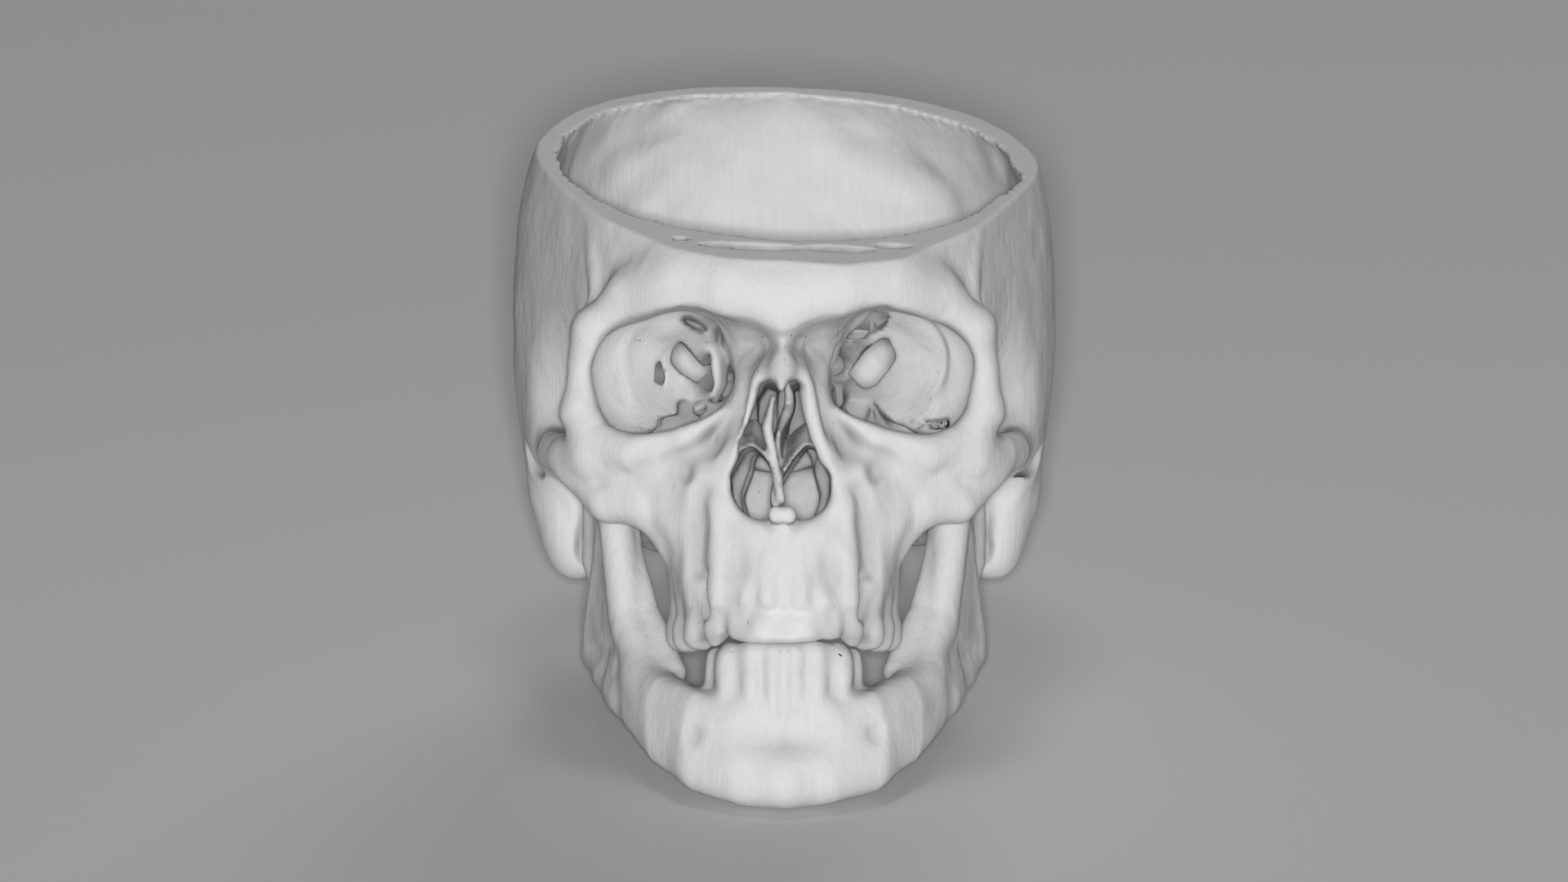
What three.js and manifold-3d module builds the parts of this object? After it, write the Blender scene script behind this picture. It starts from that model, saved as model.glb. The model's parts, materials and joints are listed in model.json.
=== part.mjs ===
// A dry human skull whose cap has been sawn off, in millimetres, +Z up and the face towards -Y.
// The bones are cut from one modelled body along their sutures, the teeth stand in sockets,
// and the lower jaw hangs by its two condyles under the temporal bones.
import * as THREE from "three";
import { edgeTable, triTable } from "three/addons/objects/MarchingCubes.js";
import { mergeVertices } from "three/addons/utils/BufferGeometryUtils.js";
import Module from "manifold-3d";

const wasm = await Module();
wasm.setup();

// Driving sizes of the jaws. With those of the brain case they place everything: a place is
// three shares, in hundredths, of sizes across, back and up, from the point midway between the
// ear holes in the plane through the ears and the eye floors.
const jaw_span = 100; // across the tooth rows and the lower jaw
const face_depth = 100; // from the ears forward to the biting edge
const face_drop = 100; // from the ear plane down to the chin

// The brain case.
const vault_breadth = 151;
const vault_length = 175;
const vault_height = 177;
const vault_wall = 7;
const forehead_wall = 15;
const cut_height = 81.8; // of the saw plane above the ear plane, at the ears
const cut_pitch = 20.3; // degrees, higher at the back
const cut_roll = 2.3; // degrees, higher on the right of the head
const thin_wall = 3.4;
const nape_hole_length = 36;
const nape_hole_breadth = 31;
const nape_hole_depth = 60;
const ear_bore = 9;

// The face.
const orbit_breadth = 38;
const orbit_height = 31;
const orbit_droop = 13; // degrees that its outer corner hangs
const orbit_wall = 3.2;
const brow_gauge = 16;
const cheek_gauge = 10;
const cheek_wall = 7;
const arch_gauge = 8;
const nose_breadth = 28;
const nose_gauge = 7;
const septum_wall = 3;
const gum_height = 25;
const gum_breadth = 11;
const palate_wall = 5;

// The lower jaw.
const jaw_body_height = 29;
const jaw_body_breadth = 13;
const ramus_wall = 7;
const condyle_breadth = 19;
const condyle_gauge = 9;
const open_angle = 25; // degrees that the jaw drops

// Clearances.
const suture_gap = 0.3;
const socket_gap = 0.3;
const joint_gap = 0.9;

// How closely the surfaces are followed.
const mesh_step = 2.5;
const soft = 4;
const very_soft = 9;
const crisp = 1;
const skull_triangles = 3800;
const jaw_triangles = 800;
const tooth_sides = 8;
const condyle_sides = 16;

// The brain case and the upper face go by the size of the case, the tooth rows and the lower
// jaw's body by that of the jaws, and its branches reach from one to the other.
const case_shares = [151, 175, 177];
const case_span = [vault_breadth, vault_length, vault_height].map((size, i) => (size * 100) / case_shares[i]);
const jaw_spans = [jaw_span, face_depth, face_drop];
const branch_span = [case_span[0], case_span[1], face_drop];

const rad = THREE.MathUtils.degToRad;
const placed = (sizes) => (row) => row.map((share, i) => (i < 3 ? (share / 100) * sizes[i] : share));
const at_case = placed(case_span);
const at_jaw = placed(jaw_spans);
const at_branch = placed(branch_span);

// Distances to a surface, negative inside it. Each form gives its distance at x, y, z,
// a ball that holds it and the corners of its box.
const larger = (a, b, blend) => {
  const overlap = Math.max(blend - Math.abs(a - b), 0) / blend;
  return Math.max(a, b) + (overlap * overlap * blend) / 4;
};
const smaller = (a, b, blend) => -larger(-a, -b, blend);

function room_round(points, margins) {
  const centre = [0, 1, 2].map((i) => points.reduce((sum, p) => sum + p[i], 0) / points.length);
  const reach = Math.max(...points.map((p, i) => Math.hypot(...centre.map((c, k) => c - p[k])) + margins[i]));
  const low = centre.map((c, k) => Math.min(...points.map((p, i) => p[k] - margins[i])));
  const high = centre.map((c, k) => Math.max(...points.map((p, i) => p[k] + margins[i])));
  return { centre, reach, low, high };
}

// A superellipsoid of three radii, its corners filled out by power, drawn in at the front by taper.
const least_size_share = 0.05;
function egg(centre, radii, power = 2, taper = 0) {
  const distance = (x, y, z) => {
    const forward = Math.min(Math.max((centre[1] - y) / radii[1], 0), 1);
    const a = radii[0] * (1 - taper * forward * forward);
    const u = Math.abs(x - centre[0]) / a;
    const v = Math.abs(y - centre[1]) / radii[1];
    const w = Math.abs(z - centre[2]) / radii[2];
    const size = Math.max((u ** power + v ** power + w ** power) ** (1 / power), least_size_share);
    const slope = (ratio, radius) => ((ratio / size) ** (power - 1) / radius) ** 2;
    return (size - 1) / Math.sqrt(slope(u, a) + slope(v, radii[1]) + slope(w, radii[2]));
  };
  const [low, high] = [-1, 1].map((sign) => centre.map((c, i) => c + sign * radii[i]));
  return { distance, centre, reach: Math.hypot(...radii), low, high };
}

// A round bar through points, each row being a place and the share of the gauge there.
function bar(rows, gauge) {
  const points = rows.map((row) => row.slice(0, 3));
  const radii = rows.map((row) => ((row[3] ?? 100) / 100) * (gauge / 2));
  const distance = (x, y, z) => {
    let nearest = Infinity;
    for (let i = 1; i < points.length; i++) {
      const [ax, ay, az] = points[i - 1];
      const [bx, by, bz] = points[i];
      const [dx, dy, dz] = [bx - ax, by - ay, bz - az];
      const along = ((x - ax) * dx + (y - ay) * dy + (z - az) * dz) / (dx * dx + dy * dy + dz * dz);
      const t = Math.min(Math.max(along, 0), 1);
      const away = Math.hypot(x - ax - t * dx, y - ay - t * dy, z - az - t * dz);
      nearest = Math.min(nearest, away - radii[i - 1] - t * (radii[i] - radii[i - 1]));
    }
    return nearest;
  };
  return { distance, ...room_round(points, radii) };
}

// A plate on three points.
const corner = new THREE.Vector3();
const foot = new THREE.Vector3();
function plate(points, wall) {
  const triangle = new THREE.Triangle(...points.map((p) => new THREE.Vector3(...p)));
  const distance = (x, y, z) => {
    triangle.closestPointToPoint(corner.set(x, y, z), foot);
    return corner.distanceTo(foot) - wall / 2;
  };
  return { distance, ...room_round(points, points.map(() => wall)) };
}

// An upright band on a line in plan, as a tooth row stands: each row is a place in its middle
// and the shares of its height and breadth there.
function band(rows, height, breadth, power = 3) {
  const points = rows.map((row) => row.slice(0, 3));
  const halves = rows.map((row) => [((row[3] / 100) * height) / 2, ((row[4] / 100) * breadth) / 2]);
  const distance = (x, y, z) => {
    let nearest = Infinity;
    let found = [0, 0, 0];
    for (let i = 1; i < points.length; i++) {
      const [ax, ay] = points[i - 1];
      const [dx, dy] = [points[i][0] - ax, points[i][1] - ay];
      const t = Math.min(Math.max(((x - ax) * dx + (y - ay) * dy) / (dx * dx + dy * dy), 0), 1);
      const away = Math.hypot(x - ax - t * dx, y - ay - t * dy);
      const mix = (a, b) => a + t * (b - a);
      if (away >= nearest) continue;
      nearest = away;
      found = [mix(points[i - 1][2], points[i][2]), ...halves[i].map((h, k) => mix(halves[i - 1][k], h))];
    }
    const [middle, half_height, half_breadth] = found;
    const u = nearest / half_breadth;
    const w = Math.abs(z - middle) / half_height;
    const size = Math.max((u ** power + w ** power) ** (1 / power), least_size_share);
    const slope = (ratio, half) => ((ratio / size) ** (power - 1) / half) ** 2;
    return (size - 1) / Math.sqrt(slope(u, half_breadth) + slope(w, half_height));
  };
  return { distance, ...room_round(points, halves.map(([h, b]) => h + b)) };
}

// A passage that runs back, narrowing from one section to the other, its outer side hanging
// by an angle.
const funnel_slope_share = 0.85;
function funnel(mouth, end, mouth_size, end_size, power, droop) {
  const [level, hanging] = [Math.cos(rad(droop)), Math.sin(rad(droop))];
  const distance = (x, y, z) => {
    const t = Math.min(Math.max((y - mouth[1]) / (end[1] - mouth[1]), 0), 1);
    const mix = (a, b) => a + t * (b - a);
    const half = [0, 1].map((i) => mix(mouth_size[i], end_size[i]) / 2);
    const [across, up] = [x - mix(mouth[0], end[0]), z - mix(mouth[2], end[2])];
    const u = Math.abs(across * level - up * hanging) / half[0];
    const w = Math.abs(across * hanging + up * level) / half[1];
    const size = (u ** power + w ** power) ** (1 / power);
    return Math.max((size - 1) * Math.min(...half) * funnel_slope_share, y - end[1]);
  };
  return { ...room_round([mouth, end], [mouth_size[0] / 2, 0]), distance, reach: Infinity };
}

// The height of a floor that rises and falls from front to back.
function floor_at(profile, y) {
  let i = 1;
  while (i < profile.length - 1 && profile[i][0] < y) i++;
  const [[y0, z0], [y1, z1]] = [profile[i - 1], profile[i]];
  return z0 + (Math.min(Math.max((y - y0) / (y1 - y0), 0), 1)) * (z1 - z0);
}

function grown(form, by) {
  const [low, high] = [form.low.map((v) => v - by), form.high.map((v) => v + by)];
  return { ...form, distance: (...p) => form.distance(...p) - by, reach: form.reach + by, low, high };
}

// A body is a list of steps, each adding or cutting one form with a rounded join.
// Both halves of the head are alike, so forms are given on one side.
const steps = { skull: [], jaw: [] };
const add = (body, form, blend = soft) => steps[body].push({ form, blend, sign: 1 });
const cut = (body, form, blend = soft) => steps[body].push({ form, blend, sign: -1 });

function distance_in(list, x, y, z) {
  let found = Infinity;
  for (const { form, blend, sign } of list) {
    const [cx, cy, cz] = form.centre;
    const away = Math.hypot(x - cx, y - cy, z - cz) - form.reach;
    if (sign > 0 && away < found + blend) found = smaller(found, form.distance(x, y, z), blend);
    if (sign < 0 && away < blend - found) found = larger(found, -form.distance(x, y, z), blend);
  }
  return found;
}

// The brain case: an egg, flat below, hollowed by a smaller egg.
const vault_centre_shares = [0, -6, 37.7];
const base_profile_shares = [
  [-100, 26], [-74, 26], [-58, 12], [-46, -3], [-6, -8], [14, -20], [36, -25], [52, -26], [66, -18], [80, -3], [95, 12],
];
const hollow_profile_shares = [
  [-95, 38], [-62, 36], [-47, 30], [-40, 6], [-14, 2], [-4, 6], [10, -9], [30, -17], [52, -17], [68, -8], [84, 16],
];
const temple_centre_shares = [71, -48, 0];
const temple_radius_shares = [23, 27, 32];
const temple_line_shares = [[51.5, -66, 0], [74.5, -2, 0]];
const vault_power = 2.32;
const vault_taper = 0.25;

const profile_of = (shares) => shares.map(([back, up]) => at_case([0, back, up]).slice(1));
const base_profile = profile_of(base_profile_shares);
const hollow_profile = profile_of(hollow_profile_shares);
const vault_centre = at_case(vault_centre_shares);
const outer_radii = [vault_breadth / 2, vault_length / 2, vault_height / 2];
const outer_vault = egg(vault_centre, outer_radii, vault_power, vault_taper);
const temple_hollow = egg(at_case(temple_centre_shares), at_case(temple_radius_shares));

// The case is flat from the temple line to its widest, and hollow below that.
const [flat_front, flat_back] = temple_line_shares.map(at_case);
const flat_run = flat_back.map((to, i) => to - flat_front[i]);
const temple = {
  ...outer_vault,
  distance: (x, y, z) => {
    const [across, back] = [x - flat_front[0], y - flat_front[1]];
    const flat = (back * flat_run[0] - across * flat_run[1]) / Math.hypot(...flat_run);
    return smaller(temple_hollow.distance(x, y, z), flat, very_soft);
  },
};

const hollow_centre = [vault_centre[0], vault_centre[1] + (forehead_wall - vault_wall) / 2, vault_centre[2]];
const hollow_radii = [
  outer_radii[0] - vault_wall,
  outer_radii[1] - (forehead_wall + vault_wall) / 2,
  outer_radii[2] - vault_wall,
];
const inner_vault = egg(hollow_centre, hollow_radii, vault_power, vault_taper);

add("skull", {
  ...outer_vault,
  distance: (x, y, z) => larger(outer_vault.distance(x, y, z), floor_at(base_profile, y) - z, very_soft),
});
cut("skull", temple, very_soft);
cut("skull", {
  ...inner_vault,
  distance: (x, y, z) => {
    const within = larger(inner_vault.distance(x, y, z), floor_at(hollow_profile, y) - z, very_soft);
    return larger(within, thin_wall + soft / 2 - temple.distance(x, y, z), soft);
  },
});

// The skull base: sphenoid body, slope to the nape hole, ridges of the ear bones, and what
// hangs under them.
const base_shares = {
  body_centre: [0, -34, 5],
  body_radius: [14, 21, 13],
  slope: [[0, -20, 5], [10, -18, 4], [8, 1, -18]],
  slope_middle: [[0, -20, 5], [0, 3, -19], [8, 1, -18]],
  ear_ridge: [[57, 12, 8, 100], [34, 0, 6, 90], [14, -14, 3, 60]],
  ear_base: [[58, 6, -2, 120], [34, -4, -4, 110], [15, -13, -3, 75]],
  wing_ridge: [[0, -44, 24, 60], [20, -43, 27, 50], [46, -50, 28, 50]],
  mastoid_centre: [58, 13, -13],
  mastoid_radius: [9.6, 13, 20.5],
  mastoid_tip: [[57.5, 13, -14, 106], [55.5, 12, -27.5, 81]],
  ear_shelf: [[62, -6, 2, 78], [63, 20, 3, 105]],
  tubercle: [[60, -24, -3, 100], [45, -22, -5, 100]],
  knob_centre: [0, 79, 0],
  knob_radius: [10, 6, 7],
  nape_condyle_centre: [17, 4, -26],
  nape_condyle_radius: [6, 11, 6.5],
  outer_pterygoid: [[14, -45, 0], [20, -37, -5]],
  outer_pterygoid_tip: [19, -38, -30],
  inner_pterygoid: [[13, -47, 0], [11, -38, -4]],
  inner_pterygoid_tip: [12, -41, -32],
  pterygoid_root: [13, -44, 4, 100],
  pterygoid_foot: [14, -43, -26, 50],
  nape_hole_centre: [0, 20, -20],
  ear_hole: [[80, 1, -4], [46, -5, -1]],
};
const ridge_gauge = 16;
const tubercle_gauge = 11;
const pterygoid_wall = 3.4;
const slope_wall = 11;

const pterygoid = (roots, tip) => plate([...roots.map(at_case), at_branch(tip)], pterygoid_wall);

add("skull", egg(at_case(base_shares.body_centre), at_case(base_shares.body_radius)));
add("skull", plate(base_shares.slope.map(at_case), slope_wall));
add("skull", plate(base_shares.slope_middle.map(at_case), slope_wall));
add("skull", bar(base_shares.ear_ridge.map(at_case), ridge_gauge));
add("skull", bar(base_shares.ear_base.map(at_case), ridge_gauge));
add("skull", bar(base_shares.wing_ridge.map(at_case), ridge_gauge));
add("skull", egg(at_case(base_shares.mastoid_centre), at_case(base_shares.mastoid_radius)), very_soft);
add("skull", bar(base_shares.mastoid_tip.map(at_case), ridge_gauge));
add("skull", bar(base_shares.ear_shelf.map(at_case), ridge_gauge), very_soft);
add("skull", bar(base_shares.tubercle.map(at_case), tubercle_gauge));
add("skull", egg(at_case(base_shares.knob_centre), at_case(base_shares.knob_radius)), very_soft);
add("skull", egg(at_case(base_shares.nape_condyle_centre), at_case(base_shares.nape_condyle_radius)));
add("skull", bar([at_case(base_shares.pterygoid_root), at_branch(base_shares.pterygoid_foot)], ridge_gauge));
add("skull", pterygoid(base_shares.outer_pterygoid, base_shares.outer_pterygoid_tip));
add("skull", pterygoid(base_shares.inner_pterygoid, base_shares.inner_pterygoid_tip));

// The face: brow, eye sockets, cheeks, nose and upper tooth row.
const face_shares = {
  brow: [[0, -89, 35, 105], [14, -87.5, 38, 105], [28, -83.5, 40, 90], [42, -76.5, 37.5, 75], [51, -70, 29, 65]],
  brow_side: [[51, -70, 29, 104], [53.5, -67, 19, 94], [54, -67, 7, 96]],
  orbit_mouth: [32, -68, 17.2],
  orbit_end: [15, -41, 19.5],
  orbit_end_size: [15, 17],
  orbit_rim: [[12, -86, 0], [53, -66, 0]],
  under_eye: [[15, -87, 4, 75], [27, -84, -4, 80], [40, -78, -4, 90], [50, -70, 0, 105], [54.5, -67, 9, 98]],
  cheek_face: [[33, -80.5, -5], [51, -69, 1], [37, -75, -20]],
  cheek_side: [[51, -69, 1], [37, -75, -20], [56, -60, -8]],
  cheek_edge: [[38, -75, -19, 90], [47, -71, -19, 85], [56, -61, -9, 90]],
  cheek_strut: [37, -74, -18, 84],
  cheek_strut_foot: [30, -71, -30, 64],
  arch: [[54, -62, -6, 130], [62, -49, -4, 105], [66, -34, -2, 95], [65, -18, 0, 100], [62, -2, 2, 130]],
  upper_jaw_centre: [21, -70, -14],
  upper_jaw_radius: [16.5, 16.5, 20],
  canine_hollow_centre: [25, -93, -18],
  canine_hollow_radius: [8, 8, 10],
  bridge: [[0, -88, 27, 120], [0, -95.5, 18, 100], [0, -102, 9.5, 66]],
  bridge_side: [[4.5, -88, 27, 90], [7, -91.5, 14, 85], [10, -91, 2, 90]],
  bridge_side_foot: [[16.5, -88.5, -13, 105], [15.5, -89, -22, 110]],
  bridge_skin: [[0, -90, 26], [0, -102, 8.5], [9, -91, 11]],
  nose_flank: [[9, -90, 24], [14, -85, 2]],
  nose_flank_foot: [17, -88, -13],
  nose_sill: [[16, -89, -23, 110], [8, -91, -27, 110], [0, -93, -27, 110]],
  nose_spine: [[0, -90, -27, 90], [0, -97, -24.5, 60]],
  tooth_row: [
    [0, -92.5, -37, 100, 100], [9, -91.5, -37, 100, 100], [17, -86.5, -36.5, 100, 105],
    [22.5, -77, -35, 90, 110], [25, -66, -34, 90, 115], [26, -52, -34, 80, 110],
  ],
  palate: [[0, -88, -30], [22, -66, -30], [0, -50, -30]],
  palate_back: [[22, -66, -30], [16, -49, -30], [0, -50, -30]],
  nose_front_top: [0, -62, 13],
  nose_front_low: [0, -120, -11],
  nose_front_gauge: [36, 100],
  nose_back_top: [0, -34, -8],
  nose_back_low: [0, -64, -15],
  nose_back_gauge: [55, 75],
  septum_top: [[0, -91, 16], [0, -60, 20]],
  septum_middle: [[0, -80, -8], [0, -53, -4]],
  lower_septum: [[0, -87, -27], [0, -50, -4], [0, -50, -29]],
  turbinate: [[10.5, -84, -9, 90], [10, -72, -10, 95], [9.5, -60, -10, 85]],
  smell_groove: [[0, -80, 33, 80], [0, -60, 31, 80]],
  eye_canal: [[15, -46, 19.5, 75], [12, -32, 21.5, 75]],
  sinus_centre: [11, -85.5, 48],
  sinus_radius: [8, 3.5, 13],
};

// A passage with a pear-shaped section. Its top gives where it ends at the back, and its low
// point where it starts.
function nose_passage(top, low, gauge_shares, blend) {
  const [top_radius, low_radius] = gauge_shares.map((share) => ((share / 100) * nose_breadth) / 2);
  const distance = (x, y, z) => {
    const t = Math.min(Math.max((top[2] - z) / (top[2] - low[2]), 0), 1);
    const away = Math.hypot(x, z - top[2] - t * (low[2] - top[2])) - top_radius - t * (low_radius - top_radius);
    return larger(away, Math.max(low[1] - y, y - top[1]), blend);
  };
  return { distance, centre: top, reach: Infinity };
}

const orbit_power = 3;
const orbit = funnel(
  at_case(face_shares.orbit_mouth),
  at_case(face_shares.orbit_end),
  [orbit_breadth, orbit_height],
  face_shares.orbit_end_size.map((share, i) => (share / 100) * [orbit_breadth, orbit_height][i]),
  orbit_power,
  orbit_droop,
);
const [rim_inside, rim_outside] = face_shares.orbit_rim.map(at_case);
const rim_slope = (rim_outside[1] - rim_inside[1]) / (rim_outside[0] - rim_inside[0]);
const orbit_hull = {
  ...grown(orbit, orbit_wall),
  distance: (x, y, z) =>
    Math.max(orbit.distance(x, y, z) - orbit_wall, rim_inside[1] + rim_slope * (x - rim_inside[0]) - y),
};
const bridge_side = [...face_shares.bridge_side.map(at_case), ...face_shares.bridge_side_foot.map(at_jaw)];
const cheek_strut = [at_case(face_shares.cheek_strut), at_jaw(face_shares.cheek_strut_foot)];
const nose_flank = [...face_shares.nose_flank.map(at_case), at_jaw(face_shares.nose_flank_foot)];
const upper_jaw_power = 2.2;

add("skull", orbit_hull, soft / 2);
add("skull", bar(face_shares.brow.map(at_case), brow_gauge), very_soft);
add("skull", bar(face_shares.brow_side.map(at_case), cheek_gauge));
add("skull", egg(at_jaw(face_shares.upper_jaw_centre), at_jaw(face_shares.upper_jaw_radius), upper_jaw_power));
add("skull", bar(face_shares.under_eye.map(at_case), cheek_gauge));
for (const corners of [face_shares.cheek_face, face_shares.cheek_side])
  add("skull", plate(corners.map(at_case), cheek_wall));
add("skull", bar(face_shares.cheek_edge.map(at_case), cheek_gauge));
add("skull", bar(cheek_strut, cheek_gauge));
add("skull", bar(face_shares.arch.map(at_case), arch_gauge));
add("skull", bar(face_shares.bridge.map(at_case), nose_gauge));
add("skull", bar(bridge_side, nose_gauge));
add("skull", plate(face_shares.bridge_skin.map(at_case), nose_gauge / 2));
add("skull", plate(nose_flank, nose_gauge));
add("skull", bar(face_shares.nose_sill.map(at_jaw), nose_gauge));
add("skull", band(face_shares.tooth_row.map(at_jaw), gum_height, gum_breadth));
add("skull", plate(face_shares.palate.map(at_jaw), palate_wall));
add("skull", plate(face_shares.palate_back.map(at_jaw), palate_wall));
cut("skull", egg(at_jaw(face_shares.canine_hollow_centre), at_jaw(face_shares.canine_hollow_radius)), very_soft);
cut("skull", orbit, soft / 2);
for (const [top, low, gauge_shares] of [
  [face_shares.nose_front_top, face_shares.nose_front_low, face_shares.nose_front_gauge],
  [face_shares.nose_back_top, face_shares.nose_back_low, face_shares.nose_back_gauge],
])
  cut("skull", nose_passage(at_jaw(top), at_jaw(low), gauge_shares, soft), soft / 2);
add("skull", bar(face_shares.nose_spine.map(at_jaw), nose_gauge));

const [septum_front, septum_roof] = face_shares.septum_top.map(at_case);
const [septum_edge, septum_rear] = face_shares.septum_middle.map(at_jaw);
const [sill_front, rear_top, rear_low] = face_shares.lower_septum.map(at_jaw);
for (const corners of [
  [septum_front, septum_roof, septum_edge],
  [septum_roof, septum_edge, septum_rear],
  [sill_front, rear_top, rear_low],
  [septum_edge, sill_front, septum_rear],
])
  add("skull", plate(corners, septum_wall), crisp);

add("skull", bar(face_shares.turbinate.map(at_jaw), nose_gauge));
cut("skull", egg(at_case(face_shares.sinus_centre), at_case(face_shares.sinus_radius)), soft / 2);
cut("skull", bar(face_shares.smell_groove.map(at_case), nose_gauge));
cut("skull", bar(face_shares.eye_canal.map(at_case), nose_gauge));
const nape_hole_sizes = [nape_hole_breadth, nape_hole_length, nape_hole_depth];
const nape_hole = egg(at_case(base_shares.nape_hole_centre), nape_hole_sizes.map((size) => size / 2));
cut("skull", nape_hole, soft / 2);
cut("skull", bar(base_shares.ear_hole.map(at_case), ear_bore), soft / 2);

// The lower jaw: tooth-bearing body, chin, a branch on each side with its two horns.
const jaw_shares = {
  body: [
    [0, -87.5, -85, 94, 97], [12, -86, -84.8, 93, 97], [21.5, -79.5, -82, 88, 95],
    [30, -67, -76, 80, 95], [37, -54, -69.8, 68, 89], [42.6, -40, -65, 57, 70],
  ],
  chin: [[0, -89.5, -93.4, 92], [12, -88, -93.8, 71]],
  lower_gum: [[0, -89.4, -67, 69, 49], [9, -87.6, -67, 69, 49], [14, -84, -67, 69, 49], [17, -77, -67, 59, 46]],
  back_branch: [[50, -9, -56], [45, -37, -12], [50, -11, -14]],
  front_branch: [[50, -9, -56], [45, -37, -12]],
  front_branch_foot: [42, -44, -60],
  front_edge: [[45, -36, -7, 40], [44, -40, -23, 56]],
  front_edge_foot: [[39.2, -46, -50, 72], [32, -59, -67, 78]],
  angle: [[50.5, -9, -56, 60], [47.5, -26, -63, 64]],
  angle_foot: [42, -44, -69, 76],
  neck: [[50, -9, -30, 100], [50.5, -11, -13, 95]],
  condyle_centre: [51, -12, -5.5],
  notch_centre: [49, -23, -5],
  notch_radius: [12, 8.5, 12],
};
const jaw_gauge = 13;
const chin_gauge = 13;

const condyle_centre = at_case(jaw_shares.condyle_centre);
const condyle = egg(condyle_centre, [condyle_breadth / 2, condyle_gauge / 2, condyle_gauge / 2]);
const neck = bar(jaw_shares.neck.map(at_branch), condyle_gauge);
const front_branch = [...jaw_shares.front_branch.map(at_branch), at_jaw(jaw_shares.front_branch_foot)];
const front_edge = [...jaw_shares.front_edge.map(at_branch), ...jaw_shares.front_edge_foot.map(at_jaw)];
const angle = [...jaw_shares.angle.map(at_branch), at_jaw(jaw_shares.angle_foot)];

add("jaw", band(jaw_shares.body.map(at_jaw), jaw_body_height, jaw_body_breadth));
add("jaw", bar(jaw_shares.chin.map(at_jaw), chin_gauge), very_soft);
add("jaw", band(jaw_shares.lower_gum.map(at_jaw), jaw_body_height, jaw_body_breadth));
add("jaw", plate(jaw_shares.back_branch.map(at_branch), ramus_wall));
add("jaw", plate(front_branch, ramus_wall));
add("jaw", bar(front_edge, jaw_gauge));
add("jaw", bar(angle, jaw_gauge));
add("jaw", neck);
cut("jaw", egg(at_branch(jaw_shares.notch_centre), at_branch(jaw_shares.notch_radius)));
add("jaw", condyle, soft / 4);
cut("skull", grown(condyle, joint_gap), soft / 2);
cut("skull", grown(neck, joint_gap), soft / 2);

// The room behind the neck into which it swings as the jaw opens.
const neck_foot = at_branch(jaw_shares.neck[0]);
const hinge = new THREE.Vector3(...condyle_centre);
const swung_foot = new THREE.Vector3(...neck_foot)
  .sub(hinge)
  .applyAxisAngle(new THREE.Vector3(1, 0, 0), rad(open_angle))
  .add(hinge);
cut("skull", plate([condyle_centre, neck_foot, swung_foot.toArray()], condyle_gauge + 2 * joint_gap), soft / 2);

// The saw plane.
const saw_point = new THREE.Vector3(0, 0, cut_height);
const saw_normal = new THREE.Vector3(0, 0, 1)
  .applyAxisAngle(new THREE.Vector3(1, 0, 0), rad(cut_pitch))
  .applyAxisAngle(new THREE.Vector3(0, 1, 0), rad(cut_roll));
const saw_offset = saw_normal.dot(saw_point);

// Marching cubes over a box: the eight corners of a cell and its twelve edges, in the order
// of the tables.
const corner_steps = [[0, 0, 0], [1, 0, 0], [1, 1, 0], [0, 1, 0], [0, 0, 1], [1, 0, 1], [1, 1, 1], [0, 1, 1]];
const edge_corners = [
  [0, 1], [1, 2], [3, 2], [0, 3], [4, 5], [5, 6], [7, 6], [4, 7], [0, 4], [1, 5], [2, 6], [3, 7],
];
const least_share = 0.06;

function skin_of(value_at, low, high) {
  const [nx, ny, nz] = low.map((start, i) => Math.ceil((high[i] - start) / mesh_step) + 1);
  const values = new Float32Array(nx * ny * nz);
  const index = (i, j, k) => i + nx * (j + ny * k);
  const place = (i, j, k) => [low[0] + i * mesh_step, low[1] + j * mesh_step, low[2] + k * mesh_step];
  for (let k = 0; k < nz; k++)
    for (let j = 0; j < ny; j++)
      for (let i = 0; i < nx; i++) values[index(i, j, k)] = value_at(...place(i, j, k));
  const points = [];
  const known = new Map();
  const triangles = [];
  const crossing = (i, j, k, edge) => {
    const [from, to] = edge_corners[edge].map((c) => corner_steps[c].map((s, axis) => s + [i, j, k][axis]));
    const [a, b] = [values[index(...from)], values[index(...to)]];
    const key = index(...from) * 3 + to.findIndex((s, axis) => s !== from[axis]);
    if (!known.has(key)) {
      const t = Math.min(Math.max(a / (a - b), least_share), 1 - least_share);
      const [start, end] = [place(...from), place(...to)];
      known.set(key, points.push(start.map((s, axis) => s + t * (end[axis] - s))) - 1);
    }
    return known.get(key);
  };
  for (let k = 0; k + 1 < nz; k++)
    for (let j = 0; j + 1 < ny; j++)
      for (let i = 0; i + 1 < nx; i++) {
        let kind = 0;
        corner_steps.forEach(([x, y, z], bit) => {
          if (values[index(i + x, j + y, k + z)] > 0) kind |= 1 << bit;
        });
        if (!edgeTable[kind]) continue;
        for (let n = kind * 16; triTable[n] >= 0; n += 3)
          triangles.push([0, 1, 2].map((m) => crossing(i, j, k, triTable[n + m])));
      }
  return { points, triangles };
}

const least_volume_share = 1e-4;
const long_edge_cost = 1e-5;
const least_turn_share = 0.3;
const least_height_share = 0.05;

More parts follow.
